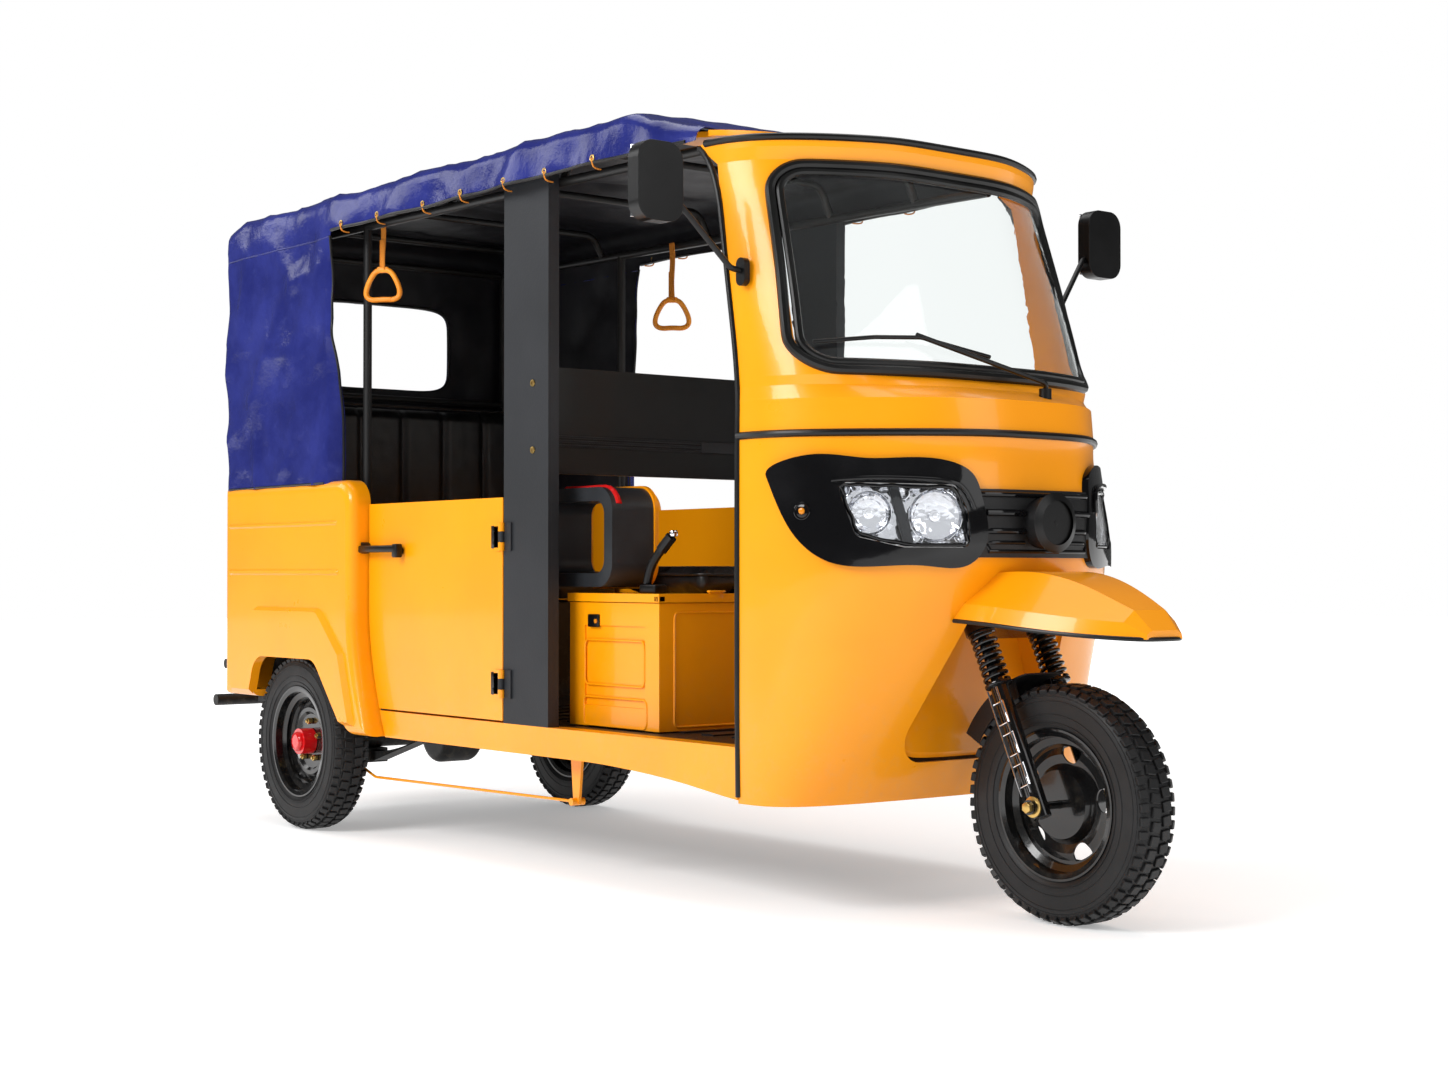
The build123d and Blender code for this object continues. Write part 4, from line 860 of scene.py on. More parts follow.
def canopy_top(x):
    """Height of the crown: it drops at the tail and over the driver's cab."""
    if x < TAIL_DROP_X:
        return CROWN_Z - TAIL_DROP * (TAIL_DROP_X - x) / (TAIL_DROP_X - CANOPY_REAR_X)
    if x < CANOPY_BEND_X:
        return CROWN_Z
    return CROWN_Z - TIP_DROP * (x - CANOPY_BEND_X) / (CANOPY_TIP_X - CANOPY_BEND_X)


SIDE_ROWS = 38
EDGE_ROWS = 3
ROOF_ROWS = 46


def canopy_section(x, inset):
    """Points of one section, from the right hem over the roof to the left hem."""
    w = canopy_half(x) - inset
    t = canopy_top(x) - inset * 0.8
    eave = max(t - 0.062, HEM_Z + 0.004)
    half = []
    for i in range(SIDE_ROWS):
        half.append((w, CURTAIN_Z + (HEM_Z - CURTAIN_Z) * i / SIDE_ROWS))
    for i in range(EDGE_ROWS):
        half.append((w, HEM_Z + (eave - HEM_Z) * i / EDGE_ROWS))
    shoulder = t - 0.016
    for i in range(4):
        turn = math.pi / 2 * i / 4
        half.append((w - 0.044 * (1 - math.cos(turn)),
                     eave + (shoulder - eave) * math.sin(turn)))
    roof = []
    for i in range(ROOF_ROWS + 1):
        y = (w - 0.044) * (1 - 2 * i / ROOF_ROWS)
        roof.append((y, shoulder + 0.016 * (1 - (y / (w - 0.044)) ** 2)))
    path = half + roof + [(-y, z) for y, z in reversed(half)]
    return [Vector((x, -y, z)) for y, z in path]


stations = [(CANOPY_REAR_X, 0.026), (CANOPY_REAR_X + 0.008, 0.010), (CANOPY_REAR_X + 0.026, 0.0)]
reach = CANOPY_REAR_X + 0.026
for end, steps in ((CURTAIN_X, 34), (CANOPY_BEND_X, 72), (CANOPY_TIP_X, 13)):
    stations += [(reach + (end - reach) * (i + 1) / steps, 0.0) for i in range(steps)]
    reach = end
rows = [canopy_section(x, inset) for x, inset in stations]
points = [p for row in rows for p in row]
across = len(rows[0])
faces = []
for i in range(len(rows) - 1):
    for j in range(across - 1):
        corners = [i * across + j, (i + 1) * across + j, (i + 1) * across + j + 1,
                   i * across + j + 1]
        middle = sum((points[k] for k in corners), Vector()) / 4
        if middle.x > CURTAIN_X and middle.z < HEM_Z - 0.002:
            continue
        faces.append(corners)
rear_loop = list(range(across))
low_left, low_right = rows[0][-1], rows[0][0]
for i in range(1, 40):
    rear_loop.append(len(points))
    points.append(low_left.lerp(low_right, i / 40))
PATCH_ROWS = 14
MIDDLE_Z = 1.581
WINDOW_HALF = 0.270
WINDOW_HALF_HIGH = 0.144


def window_point(p):
    """The point of the rear window's rounded outline in the direction of p."""
    y, z = p.y, p.z - MIDDLE_Z
    length = math.hypot(y, z)
    y, z = y / length, z / length
    reach = (abs(y / WINDOW_HALF) ** 6 + abs(z / WINDOW_HALF_HIGH) ** 6) ** (-1 / 6)
    return Vector((CANOPY_REAR_X, y * reach, MIDDLE_Z + z * reach))


ring = rear_loop
for k in range(1, PATCH_ROWS + 1):
    share = k / PATCH_ROWS
    inner = []
    for index in rear_loop:
        inner.append(len(points))
        points.append(points[index].lerp(window_point(points[index]), share))
    for a in range(len(ring)):
        b = (a + 1) % len(ring)
        faces.append([ring[b], ring[a], inner[a], inner[b]])
    ring = inner
print("canopy points:", len(points), "faces:", len(faces))

# %% [markdown]
# The creases. Between hoops the roof sags a little. On the curtains long folds cross at a slant,
# and near the hems the cloth is pulled by its ties, so it puckers.

# %% Canopy creases
HOOPS = (-1.62, -1.0, -0.42, 0.16, 0.52, 0.83)


def ridge(place, sharp=2.2):
    """Ridged noise, 1 along creases and 0 between them."""
    return max(0.0, 1 - 2.4 * abs(noise.noise(place))) ** sharp


def slack(p):
    """How far the cloth stands in or out at a point, in metres."""
    sag = 0.0
    if p.z > 1.88:
        for first, second in zip(HOOPS, HOOPS[1:]):
            if first <= p.x < second:
                share = (p.x - first) / (second - first)
                sag = -0.016 * math.sin(math.pi * share) ** 2 * (1 - (abs(p.y) / 0.6) ** 4)
    slant = Vector((p.x * 2.6 + p.z * 2.1, p.y * 2.4, p.z * 1.7 - p.x * 1.9))
    cross = Vector((p.x * 2.9 - p.z * 2.5 + 7, p.y * 2.2 + 3, p.z * 1.9 + p.x * 1.6))
    calm = 0.5 if p.z > 1.86 else 0.85
    crease = calm * (0.011 * ridge(slant) + 0.010 * ridge(cross))
    crease += 0.004 * ridge(Vector((p.x * 8, p.y * 8, p.z * 6 + 5)), 1.6)
    crease += 0.0025 * noise.noise(p * 19)
    pull = 0.0
    if p.x > CURTAIN_X and p.z < 1.925:
        pull = 0.006 * math.sin(p.x * 21 + 2 * noise.noise(p * 3)) * (1.925 - p.z) / 0.09
    return sag + crease - 0.008 + pull


sheet_mesh = bpy.data.meshes.new("canopy_sheet")
sheet_mesh.from_pydata(points, [], faces)
canopy = bpy.data.objects.new("canopy_sheet", sheet_mesh)
bpy.context.scene.collection.objects.link(canopy)
edit_whole(canopy)
bpy.ops.mesh.delete_loose()
bpy.ops.mesh.select_all(action="SELECT")
bpy.ops.mesh.remove_doubles(threshold=0.0004)
bpy.ops.mesh.normals_make_consistent(inside=False)
bpy.ops.object.mode_set(mode="OBJECT")
sheet_mesh.update()
top_face = max(sheet_mesh.polygons, key=lambda f: f.center.z)
if top_face.normal.z < 0:
    sheet_mesh.flip_normals()
moves = [(v.co.copy(), v.normal.copy()) for v in sheet_mesh.vertices]
for vertex, (place, normal) in zip(sheet_mesh.vertices, moves):
    vertex.co = place + normal * slack(place)
canopy.data.materials.append(canopy_blue)
canopy.data.materials.append(lining)
shape(canopy, "SOLIDIFY", thickness=0.0016, offset=-1, material_offset=1)
bpy.ops.object.shade_smooth_by_angle(angle=math.radians(65))
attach(canopy, "chassis")
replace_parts(canopy, "canopy")

# %% [markdown]
# The hems are bound in black tape, a seam crosses each curtain at the eave, and short ties hold
# the roof down through brass eyelets.

# %% Hems, seams, eyelets and ties
canopy_skin = BVHTree.FromPolygons([v.co.copy() for v in sheet_mesh.vertices],
                                   [list(f.vertices) for f in sheet_mesh.polygons])


def on_canopy(x, z, side, lift=0.0):
    """The canopy's side surface at a place along and up."""
    hit, normal, face, reach = canopy_skin.ray_cast(Vector((x, side * 1.0, z)),
                                                    Vector((0, -side, 0)))
    return None if hit is None else hit + Vector((0, side * lift, 0))


for side, label in ((-1, "right"), (1, "left")):
    hem = [on_canopy(-0.93 + 0.05 * i, HEM_Z + 0.003, side) for i in range(35)]
    hem = [p for p in hem if p is not None]
    edge = [on_canopy(CURTAIN_X - 0.003, 1.07 + 0.05 * i, side) for i in range(16)]
    edge = [p for p in edge if p is not None]
    foot = [on_canopy(-1.63 + 0.05 * i, 1.070, side) for i in range(14)]
    foot = [p for p in foot if p is not None]
    tape = join([cable(hem, 0.0045), cable(edge, 0.004), cable(foot, 0.0035)])
    settle(tape, "hem_tape_" + label, seal_rubber)
    seam = [on_canopy(-1.64 + 0.05 * i, 1.817, side, 0.0005) for i in range(15)]
    seam = [p for p in seam if p is not None]
    settle(cable(seam, 0.0022), "eave_seam_" + label, canopy_blue)
    holes, ties = [], []
    for x in (-0.86, -0.66, -0.42, -0.2, 0.02, 0.2, 0.42):
        spot = on_canopy(x, 1.846, side, 0.001)
        if spot is None:
            continue
        clear()
        bpy.ops.mesh.primitive_torus_add(location=spot, rotation=(math.pi / 2, 0, 0),
                                         major_radius=0.0075, minor_radius=0.0022,
                                         major_segments=20, minor_segments=8)
        holes.append(bpy.context.object)
        ties.append(cable([spot, spot + Vector((0.004, side * 0.004, -0.012)),
                           spot + Vector((0.002, -side * 0.006, -0.026)),
                           spot + Vector((-0.004, -side * 0.03, -0.024))], 0.0022))
    settle(join(holes), "hem_eyelets_" + label, brass)
    settle(join(ties), "hem_ties_" + label, webbing)
frame_loop = [Vector((CANOPY_REAR_X - 0.002, 0.276 * math.copysign(abs(math.cos(a)) ** 0.33,
                                                                   math.cos(a)),
                      MIDDLE_Z + 0.150 * math.copysign(abs(math.sin(a)) ** 0.33, math.sin(a))))
              for a in (math.tau * i / 48 for i in range(48))]
settle(cable(frame_loop, 0.006, closed=True), "rear_window_binding", seal_rubber)
print("hems, seams, eyelets and ties are sewn on")

# %% [markdown]
# Cushions swell like balloons held by their covers. A box with round edges is remeshed finely and
# filled by a cloth simulation with pressure, without gravity, and no point may move far. Sewn
# channels are pressed in afterwards, because a seam narrower than the mesh would be lost.

# %% Cushions
def cushion(node, name, swell, channels, axis, face_axis):
    """A padded piece in the space of a frame piece, with sewn channels across it."""
    low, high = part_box(node)
    size = high - low
    slim = 0.6 * swell
    pad = box(tuple((low + high) / 2), tuple(s - 2 * slim for s in size),
              min(size) * 0.34, 5)
    pad.name = name
    take(pad)
    bpy.ops.object.transform_apply(location=True, rotation=True, scale=True)
    voxel = 0.0065
    shape(pad, "REMESH", mode="VOXEL", voxel_size=voxel)
    start = [v.co.copy() for v in pad.data.vertices]
    take(pad)
    cover = pad.modifiers.new("cover", "CLOTH")
    cover.settings.use_pressure = True
    cover.settings.uniform_pressure_force = 4
    cover.settings.effector_weights.gravity = 0
    cover.settings.quality = 4
    for step in range(1, 13):
        bpy.context.scene.frame_set(step)
    bpy.ops.object.modifier_apply(modifier=cover.name)
    bpy.context.scene.frame_set(1)
    for vertex, was in zip(pad.data.vertices, start):
        move = vertex.co - was
        if move.length > swell:
            vertex.co = was + move.normalized() * swell
    middle = (low + high) / 2
    for vertex in pad.data.vertices:
        side = 1 if vertex.co[face_axis] > middle[face_axis] else -1
        for spot in channels:
            gap = (vertex.co[axis] - spot) / 0.012
            vertex.co[face_axis] -= side * 0.012 * math.exp(-gap * gap)
        vertex.co += Vector((1, 1, 1)) * 0.0012 * noise.noise(vertex.co * 26)
        for k in range(3):
            vertex.co[k] = min(max(vertex.co[k], low[k] - 0.004), high[k] + 0.006)
    shape(pad, "SUBSURF", levels=1, render_levels=1)
    settle(pad, name, seat_vinyl, "chassis", 60)
    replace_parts(pad, node)
    print(name, "faces:", len(pad.data.polygons))
    return pad


cushion("rear_cushion", "rear_seat_cushion", 0.008, (-0.25, 0.0, 0.25), 1, 2)
cushion("rear_backrest", "rear_back_cushion", 0.008, (-0.32, -0.16, 0.0, 0.16, 0.32), 1, 0)
cushion("driver_cushion", "driver_seat_cushion", 0.007, (-0.13, 0.13), 1, 2)

# %% [markdown]
# Piping hides the seam where a cushion's top panel meets its side. It is a thin bead round the
# outline.

# %% Cushion piping
def piping(name, low, high, level, axis, inset, corner=0.03):
    """A bead round a cushion in the plane across one axis."""
    a, b = [k for k in range(3) if k != axis]
    spots = []
    for sa, sb, start in ((1, 1, 0), (-1, 1, 90), (-1, -1, 180), (1, -1, 270)):
        for step in (0, 30, 60, 90):
            turn = math.radians(start + step)
            p = Vector((0, 0, 0))
            edge_a = high[a] - inset - corner if sa > 0 else low[a] + inset + corner
            edge_b = high[b] - inset - corner if sb > 0 else low[b] + inset + corner
            p[a] = edge_a + corner * math.cos(turn)
            p[b] = edge_b + corner * math.sin(turn)
            p[axis] = level
            spots.append(p)
    return settle(cable(spots, 0.0042, closed=True), name, seat_vinyl)


low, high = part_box("rear_cushion")
piping("rear_seat_piping", low, high, high.z - 0.022, 2, 0.002)
low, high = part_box("rear_backrest")
piping("rear_back_piping", low, high, high.x - 0.020, 0, 0.002)
low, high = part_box("driver_cushion")
piping("driver_seat_piping", low, high, high.z - 0.018, 2, 0.002)
print("piping is sewn on")

# %% [markdown]
# A grab strap is doubled webbing with a stitched end and a moulded ring like a rounded trapeze.
# Webbing is flat, so it is modelled directly; the ring is a fat closed bead.

# %% Grab straps
def grab_strap(x, y, label, drop, turn):
    """A strap with its ring, hanging from the roof rail, with the ring turned about it."""
    strip = box((x, y, 1.784 - drop / 2), (0.026, 0.004, 0.140 + drop), 0.0012, 1)
    fold = box((x, y - 0.003, 1.765 - drop), (0.0275, 0.003, 0.085), 0.001, 1)
    edit_faces(strip, lambda c, n: True)
    bpy.ops.mesh.subdivide(number_cuts=5)
    bpy.ops.object.mode_set(mode="OBJECT")
    for vertex in strip.data.vertices:
        vertex.co.y += 0.002 * math.sin(vertex.co.z * 40)
    stitches = [box((x + dx, y - 0.0050, 1.735 - drop + 0.008 * i), (0.0016, 0.001, 0.005))
                for i in range(8) for dx in (-0.009, 0.009)]
    cloth_part = join([strip, fold] + stitches)
    settle(cloth_part, "grab_webbing_" + label, webbing)
    outline = ((-0.020, 0.0), (0.020, 0.0), (0.038, -0.022), (0.054, -0.056), (0.055, -0.080),
               (0.036, -0.092), (0.0, -0.089), (-0.036, -0.092), (-0.055, -0.080),
               (-0.054, -0.056), (-0.038, -0.022))
    loop = cable([(dx, 0, z) for dx, z in outline], 0.0082, closed=True, sides=4)
    grip = box((0, 0, -0.090), (0.062, 0.019, 0.014), 0.005, 3)
    collar = box((0, 0, 0), (0.036, 0.014, 0.018), 0.004, 3)
    ring = join([loop, grip, collar])
    take(ring)
    bpy.ops.object.transform_apply(location=True, rotation=True, scale=True)
    ring.matrix_world = Matrix.Translation((x, y, 1.716 - drop)) @ Matrix.Rotation(turn, 4, "Z")
    settle(ring, "grab_ring_" + label, strap_plastic)
    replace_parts(cloth_part, "grab_straps")
    return ring


grab_strap(-0.845, -0.450, "rear", 0.0, math.radians(38))
grab_strap(-0.584, 0.450, "front", 0.045, math.radians(46))
print("grab straps hang")

# %% [markdown]
# A headlamp is a deep bowl of mirror facets behind clear plastic, with a dark bar between dipped
# and main beam. The lamp faces the corner, so its pieces are made flat at the origin and then
# stood on the lamp's own plane, with their Z pointing out of the corner.

# %% The lamp's plane
LAMP_TURN = math.radians(51.6)
LAMP_RIGHT = Vector((math.cos(LAMP_TURN), math.sin(LAMP_TURN), 0))
LAMP_OUT = Vector((math.sin(LAMP_TURN), -math.cos(LAMP_TURN), 0))
LAMP_LEAST = 0.75
LENS_MIDDLE = (0.570, 0.930)
lamp_skin = skin_of(["headlamp_bezels", "headlamp_lenses", "nose_shell"])


def on_lamp(across, z, lift=0.0):
    """The point of the lamp's outer face, drawn inwards where the joint round it is open."""
    for pull in (0.0, 0.04, 0.08, 0.12):
        s = across + (LENS_MIDDLE[0] - across) * pull
        h = z + (LENS_MIDDLE[1] - z) * pull
        start = LAMP_RIGHT * s + LAMP_OUT * 3 + Vector((0, 0, h))
        hit, normal, face, reach = lamp_skin.ray_cast(start, -LAMP_OUT)
        if hit is not None and hit.dot(LAMP_OUT) > LAMP_LEAST:
            return hit + LAMP_OUT * lift
    raise ValueError((across, z))


def stand(piece, across, z, lift, spin=0.0):
    """Stands a piece made at the origin on the lamp's face."""
    turn = Matrix((LAMP_RIGHT, (0, 0, 1), LAMP_OUT)).transposed().to_4x4()
    piece.matrix_world = (Matrix.Translation(on_lamp(across, z, lift)) @ turn
                          @ Matrix.Rotation(spin, 4, "Z"))
    return piece


facet = Finish("faceted_mirror", Metallic=1.0, Roughness=0.08, Base_Color=(0.62, 0.63, 0.66, 1))
cells = facet.node("ShaderNodeTexVoronoi", {"feature": "F1"},
                   {"Vector": facet.place, "Scale": 48.0})
facet.feed(Roughness=facet.noise(30.0, 3.0) * 0.08 + 0.04)
facet.bump(cells, 0.008, 0.35)
faceted_mirror = facet.material
for slot in nodes["headlamp_reflectors"].material_slots:
    slot.material = faceted_mirror

# %% [markdown]
# Each bowl is half of a coarse sphere, squashed and given a wall. Left unsmoothed, its faces are
# the facets.

# %% Headlamp bowls, bulbs, bar and rim
def bowl(radius, depth):
    """A faceted dish with its open side along Z."""
    clear()
    bpy.ops.mesh.primitive_uv_sphere_add(segments=22, ring_count=14, radius=radius)
    dish = bpy.context.object
    edit_faces(dish, lambda c, n: c.z > 0.001)
    bpy.ops.mesh.delete(type="FACE")
    bpy.ops.object.mode_set(mode="OBJECT")
    dish.scale = (1, 1, depth / radius)
    take(dish)
    bpy.ops.object.transform_apply(location=False, rotation=False, scale=True)
    return shape(dish, "SOLIDIFY", thickness=0.0016, offset=1)


LENS_FACE = [(0.415, 0.998), (0.676, 0.992), (0.704, 0.935), (0.708, 0.860), (0.560, 0.860),
             (0.455, 0.884)]
dishes = [stand(bowl(0.050, 0.024), 0.484, 0.932, -0.012),
          stand(bowl(0.060, 0.024), 0.634, 0.926, -0.012)]
for across, z in ((0.425, 0.985), (0.560, 0.978), (0.694, 0.880), (0.590, 0.876)):
    dishes.append(stand(bowl(0.015, 0.010), across, z, -0.020))
bulbs = []
for across, z in ((0.484, 0.932), (0.634, 0.926)):
    stem = drum((0, 0, -0.006), 0.0075, 0.022, "Z", 20, 0.003)
    collar = drum((0, 0, -0.016), 0.013, 0.005, "Z", 24, 0.001)
    bulbs.append(stand(join([stem, collar]), across, z, -0.016))
bar = box((0, 0, 0), (0.023, 0.139, 0.020), 0.004, 3)
edit_faces(bar, lambda c, n: n.z > 0.9)
bpy.ops.mesh.inset(thickness=0.003, depth=-0.002)
bpy.ops.object.mode_set(mode="OBJECT")
stand(bar, 0.556, 0.927, -0.018, 0.27)
rim = [on_lamp(s, z, 0.001) for s, z in spread(LENS_FACE, 0.018)]
edge_bead = cable(rim, 0.0045, closed=True)
hood = cable([on_lamp(s, z, 0.004) for s, z in
              ((0.398, 1.006), (0.46, 1.012), (0.56, 1.011), (0.66, 1.006), (0.704, 0.992),
               (0.722, 0.94))], 0.0055)
for piece, name, finish, slot in ((join(dishes), "lamp_bowls", faceted_mirror, "reflector"),
                                  (join(bulbs), "lamp_bulbs", chrome, "reflector"),
                                  (bar, "lamp_bar", charcoal, "black_matte"),
                                  (join([edge_bead, hood]), "lamp_rim", gloss_black,
                                   "black_gloss")):
    pair(piece, name, finish, 8 if "bowls" in name else 35)

# %% [markdown]
# A small amber marker sits in a round pocket of the bezel. It faces wherever the bezel does there,
# so it takes its direction from the skin's normal.

# %% Amber markers
MARKER = (0.333, 0.937)
start = LAMP_RIGHT * MARKER[0] + LAMP_OUT * 3 + Vector((0, 0, MARKER[1]))
spot, facing, face, reach = lamp_skin.ray_cast(start, -LAMP_OUT)
place = Matrix.Translation(spot) @ facing.to_track_quat("Z", "Y").to_matrix().to_4x4()
clear()
bpy.ops.mesh.primitive_torus_add(major_radius=0.0175, minor_radius=0.0032, major_segments=40,
                                 minor_segments=10)
pocket = join([bpy.context.object, drum((0, 0, 0.0004), 0.0165, 0.002, "Z", 36, 0.0008)])
pocket.matrix_world = place
lamp = drum((0, 0, 0.003), 0.0075, 0.007, "Z", 28, 0.0028)
lamp.matrix_world = place
pair(pocket, "marker_pocket", gloss_black)
pair(lamp, "marker_lamp", amber_lens)
print("headlamps and markers are fitted")

# %% [markdown]
# Between the lamps runs a black grille: a raised lip round a sunk field, two bars across it and
# a round horn in the middle. The lip and bars are beads laid on the skin.

# %% Grille lip, bars and horn
grille_skin = skin_of(["front_grille", "nose_shell"])


def on_grille(y, z, lift):
    """The grille's face straight behind a point."""
    hit, normal, face, reach = grille_skin.ray_cast(Vector((3, y, z)), Vector((-1, 0, 0)))
    return hit + Vector((lift, 0, 0))


LIP_LOW = 0.846
LIP_HIGH = 0.976
beads = [cable([on_grille(-0.19 + 0.02 * i, LIP_HIGH, 0.002) for i in range(20)], 0.0065)]
beads.append(cable([on_grille(-0.16 + 0.02 * i, LIP_LOW, 0.001) for i in range(17)], 0.0045))
for side in (-1, 1):
    fall = [on_grille(side * y, z, 0.001) for y, z in
            ((0.184, 0.962), (0.178, 0.92), (0.170, 0.875), (0.158, 0.850))]
    beads.append(cable(fall, 0.0045))
    for z, radius in ((0.934, 0.008), (0.892, 0.007), (0.866, 0.0045)):
        beads.append(cable([on_grille(side * (0.06 + 0.018 * i), z, 0.002) for i in range(7)],
                           radius))
settle(join(beads), "grille_bars", gloss_black)
HORN_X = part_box("front_grille")[1].x
HORN_Z = 0.912
HORN_R = 0.0585
disc = drum((HORN_X + 0.0015, 0, HORN_Z), HORN_R, 0.004, "X", 60, 0.0015)
edit_faces(disc, lambda c, n: n.x > 0.9)
bpy.ops.mesh.inset(thickness=0.007, depth=0.0015)
bpy.ops.mesh.inset(thickness=0.018, depth=-0.0015)
bpy.ops.mesh.inset(thickness=0.020, depth=0.0008)
bpy.ops.object.mode_set(mode="OBJECT")
cap = drum((HORN_X + 0.004, 0, HORN_Z), 0.0055, 0.003, "X", 20, 0.001)
settle(join([disc, cap]), "horn_face", satin_black, angle=20)
print("grille and horn are on, horn face at", round(HORN_X, 3))

# %% [markdown]
# Door furniture: a pull handle with a boss at one end and a turned-down tab at the other, and
# black hinge leaves beside the pillar. They ride their doors.

# %% Door handles and hinges
SIDE_Y = 0.522
HANDLE_Z = 0.872
HINGE_HEIGHTS = (0.497, 0.895)


def lever_handle():
    """The right door's outside handle."""
    boss = box((-0.838, -SIDE_Y - 0.016, HANDLE_Z), (0.062, 0.030, 0.036), 0.007, 3)
    neck = drum((-0.800, -SIDE_Y - 0.012, HANDLE_Z), 0.017, 0.026, "Y", 28, 0.003)
    grip = box((-0.702, -SIDE_Y - 0.027, HANDLE_Z - 0.004), (0.216, 0.013, 0.021), 0.005, 3)
    tab = box((-0.593, -SIDE_Y - 0.021, HANDLE_Z - 0.010), (0.026, 0.024, 0.040), 0.005, 3)
    foot = drum((-0.600, -SIDE_Y - 0.008, HANDLE_Z - 0.010), 0.010, 0.018, "Y", 20, 0.002)
    return join([boss, neck, grip, tab, foot])


DOORS = ("door_right", "door_left")
pair(lever_handle(), "door_handle", satin_black, bodies=DOORS)
leaves = []
for z in HINGE_HEIGHTS:
    leaves.append(box((-0.085, -SIDE_Y - 0.0025, z), (0.046, 0.005, 0.062), 0.002, 2))
    for lift in (-0.017, 0.017):
        leaves.append(drum((-0.094, -SIDE_Y - 0.0055, z + lift), 0.0055, 0.003, "Y", 6,
                           0.0008))
pair(join(leaves), "hinge_leaves", satin_black, bodies=DOORS)
print("handles stand at", HANDLE_Z, "m and hinges at", HINGE_HEIGHTS)

# %% [markdown]
# Two round-headed bolts hold the roof frame to each middle pillar. A drum's outer face is inset
# and pushed in, which leaves the recess for the key.

# %% Pillar bolts
PILLAR_BOLT_X = 0.093
PILLAR_BOLT_HEIGHTS = (1.302, 1.124)
bolts = []
for z in PILLAR_BOLT_HEIGHTS:
    head = drum((PILLAR_BOLT_X, -SIDE_Y - 0.0015, z), 0.0095, 0.005, "Y", 28, 0.002)
    edit_faces(head, lambda c, n: n.y < -0.9)
    bpy.ops.mesh.inset(thickness=0.004, depth=-0.002)
    bpy.ops.object.mode_set(mode="OBJECT")
    bolts.append(head)
pair(join(bolts), "pillar_bolts", brass)
print("pillar bolts at", PILLAR_BOLT_HEIGHTS)

# %% [markdown]
# The board behind the driver is stiffened by three pressed ribs that run into one broad band.
# They are thin bars with round edges, half sunk in the board's face.

# %% Partition ribs
rib_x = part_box("partition_board")[1].x + 0.001
RIB_Z = 1.160
RIB_GAP = 0.012
RIB_WIDE = 0.560
ribs = []
for step in (1, 0, -1):
    ribs.append(box((rib_x, -0.150, RIB_Z + step * RIB_GAP), (0.006, RIB_WIDE, 0.0065),
                    0.0025, 3))
ribs.append(box((rib_x, 0.275, RIB_Z), (0.006, 0.290, 0.034), 0.0025, 3))
settle(join(ribs), "partition_ribs", charcoal)
print("partition ribs:", RIB_WIDE, "m wide")

# %% [markdown]
# The driver's seat box is a steel locker. It has a small lock with an amber button, a black guard
# on its lid's corner and a clip that holds the lid shut. Raised frames are pressed into its
# panels; a bead round four corners, half in the panel, gives that edge.

# %% Seat box fittings
seat_low, seat_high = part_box("seat_box")
side_y, front_x = seat_low.y, seat_high.x
lock = box((0.233, side_y - 0.002, 0.672), (0.050, 0.008, 0.034), 0.0035, 3)
settle(lock, "seat_box_lock", satin_black)
button = drum((0.248, side_y - 0.007, 0.671), 0.006, 0.005, "Y", 24, 0.0015)
settle(button, "seat_box_button", amber_lens)
guard_cap = box((front_x - 0.006, side_y + 0.006, 0.731), (0.022, 0.022, 0.018), 0.003, 3)
settle(guard_cap, "seat_box_corner", satin_black)
clip = [box((front_x + 0.003, -0.240, 0.741), (0.005, 0.046, 0.020), 0.002, 2),
        box((front_x + 0.004, -0.240, 0.7495), (0.014, 0.052, 0.006), 0.002, 2)]
settle(join(clip), "seat_box_clip", yellow)


def frame_bead(corners, radius):
    """A raised bead round four corners."""
    path = [tuple(p) for p in spread([tuple(c) for c in corners], 0.03)]
    return cable(path, radius, closed=True)


side_frames = []
for x0, x1, z0, z1 in ((0.190, 0.455, 0.505, 0.622), (0.185, 0.465, 0.398, 0.472)):
    side_frames.append(frame_bead([(x0, side_y, z0), (x1, side_y, z0), (x1, side_y, z1),
                                   (x0, side_y, z1)], 0.0028))
front_frame = frame_bead([(front_x, -0.372, 0.405), (front_x, 0.372, 0.405),
                          (front_x, 0.372, 0.696), (front_x, -0.372, 0.696)], 0.0032)
lid_edge = cable([(0.02, side_y - 0.001, 0.727), (0.28, side_y - 0.001, 0.727),
                  (front_x, side_y, 0.727), (front_x + 0.001, -0.15, 0.727),
                  (front_x + 0.001, 0.38, 0.727)], 0.0022, smooth=False)
settle(join(side_frames + [front_frame, lid_edge]), "seat_box_pressings", yellow)
print("seat box fittings are on")

# %% [markdown]
# The hand lever leans forward out of a foot on the seat box, in a rubber sleeve, with a plated
# button on its end. A red reflector lies over the front corner of each arm rest: rays shot at
# the arm rest from around its middle find the curve that the strip follows.

# %% Hand lever and arm rest reflectors
base = box((0.430, -0.375, 0.756), (0.070, 0.040, 0.024), 0.005, 3)
arm = cable([(0.405, -0.375, 0.764), (0.412, -0.375, 0.800), (0.440, -0.368, 0.846),
             (0.476, -0.356, 0.884)], 0.0115)
sleeve = cable([(0.452, -0.364, 0.856), (0.464, -0.360, 0.870), (0.482, -0.354, 0.890)], 0.0150)
settle(join([base, arm, sleeve]), "hand_lever", satin_black)
knob = drum((0.488, -0.352, 0.898), 0.011, 0.016, "Z", 24, 0.004)
settle(knob, "hand_lever_button", chrome)
rest_skin = skin_of(["arm_rests"])
REST_MIDDLE = Vector((0.170, -0.396, 0.892))
crest = []
for degrees in range(128, 28, -6):
    ray = Vector((math.cos(math.radians(degrees)), 0, math.sin(math.radians(degrees))))
    hit, normal, face, reach = rest_skin.ray_cast(REST_MIDDLE + ray * 0.5, -ray)
    if hit is not None:
        crest.append(hit - ray * 0.004)
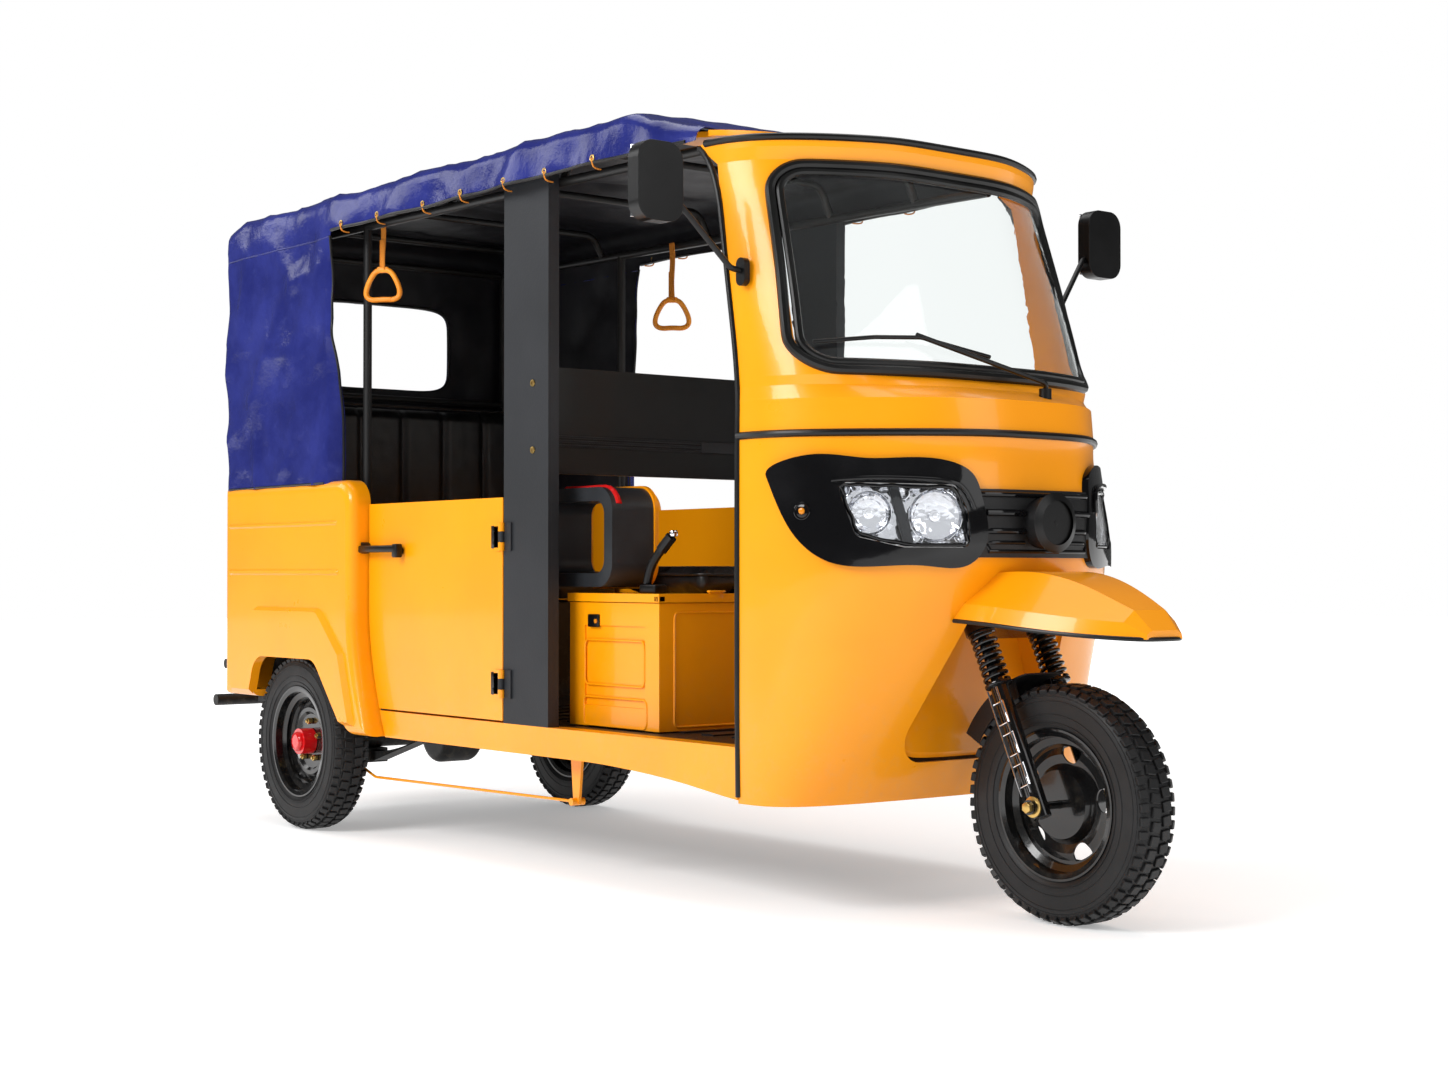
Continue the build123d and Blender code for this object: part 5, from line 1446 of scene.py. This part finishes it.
pair(cable(crest, 0.0105), "arm_rest_reflector", red_lens)
print("the lever is on, and the reflector follows", len(crest), "points of the arm rest")

# %% [markdown]
# Mirrors get their silvered plates, held by a thin lip, on the side that faces the driver.

# %% Mirror plates
MIRROR_X = 0.928
plate = box((0, 0, 0), (0.112, 0.166, 0.003))
edit_faces(plate, lambda c, n: abs(n.z) < 0.1)
bpy.ops.object.mode_set(mode="OBJECT")
shape(plate, "BEVEL", width=0.030, segments=6, limit_method="ANGLE", angle_limit=1.0)
plate.matrix_world = Matrix.Translation((MIRROR_X - 0.0006, -0.750, 1.687)) @ Matrix.Rotation(
    math.pi / 2, 4, "Y") @ Matrix.Rotation(math.pi / 2, 4, "Z")
pair(plate, "mirror_plate", chrome)
print("mirror plates are in")

# %% [markdown]
# At the tail: a blank number plate with two bolts, a lamp for it, rims round the red lamps and
# an amber indicator in the lower half of each.

# %% Tail fittings
TAIL_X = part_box("rear_panel")[0].x
PLATE_Z = 0.640
number_plate = box((TAIL_X - 0.0015, 0, PLATE_Z), (0.003, 0.300, 0.110), 0.001, 2)
settle(number_plate, "blank_number_plate", plate_white)
plate_bolts = [drum((TAIL_X - 0.004, y, PLATE_Z), 0.006, 0.004, "X", 20, 0.001)
               for y in (-0.11, 0.11)]
settle(join(plate_bolts), "number_plate_bolts", steel)
lamp_hood = box((TAIL_X - 0.010, 0, 0.712), (0.020, 0.090, 0.022), 0.005, 3)
settle(lamp_hood, "number_plate_lamp", satin_black)
lamp_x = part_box("tail_lamps")[0].x
LAMP_Y = 0.426
for side, label in ((-1, "right"), (1, "left")):
    border = [(lamp_x + 0.004, side * y, z) for y, z in
              ((0.374, 0.702), (0.478, 0.702), (0.478, 0.898), (0.374, 0.898))]
    ring = cable([tuple(p) for p in spread(border, 0.02)], 0.005, closed=True)
    split = box((lamp_x + 0.002, side * LAMP_Y, 0.800), (0.008, 0.098, 0.005), 0.0015, 2)
    settle(join([ring, split]), "tail_lamp_rim_" + label, satin_black)
    indicator = box((lamp_x + 0.001, side * LAMP_Y, 0.752), (0.006, 0.086, 0.078), 0.0025, 3)
    settle(indicator, "tail_indicator_" + label, amber_lens)
print("tail fittings are on")

# %% [markdown]
# Rubber grips finish the handlebar and valve stems the rear wheels. The bar's own points give
# each grip its two ends, so that it lies on the bar wherever the bar bends.

# %% Grips and valve stems
grip_points = [v.co for v in nodes["handlebar"].data.vertices]
for side, label in ((-1, "right"), (1, "left")):
    ends = [p for p in grip_points if p.y * side > 0.285]
    end = sum(ends, Vector()) / len(ends)
    inner = [p for p in grip_points if 0.235 < p.y * side < 0.262]
    start = sum(inner, Vector()) / len(inner) if inner else end + Vector((0.12, -side * 0.05, 0))
    grip = cable([start.lerp(end, t) for t in (0.05, 0.4, 0.8, 1.02)], 0.0165)
    settle(grip, "grip_" + label, seal_rubber, "steering")
    stem = cable([(AXLE_REAR_X + 0.128, side * 0.535, TYRE_R + 0.02),
                  (AXLE_REAR_X + 0.118, side * 0.552, TYRE_R + 0.02)], 0.0035)
    settle(stem, "valve_stem_" + label, seal_rubber, "rear_wheel_" + label)
print("grips and valve stems are on")
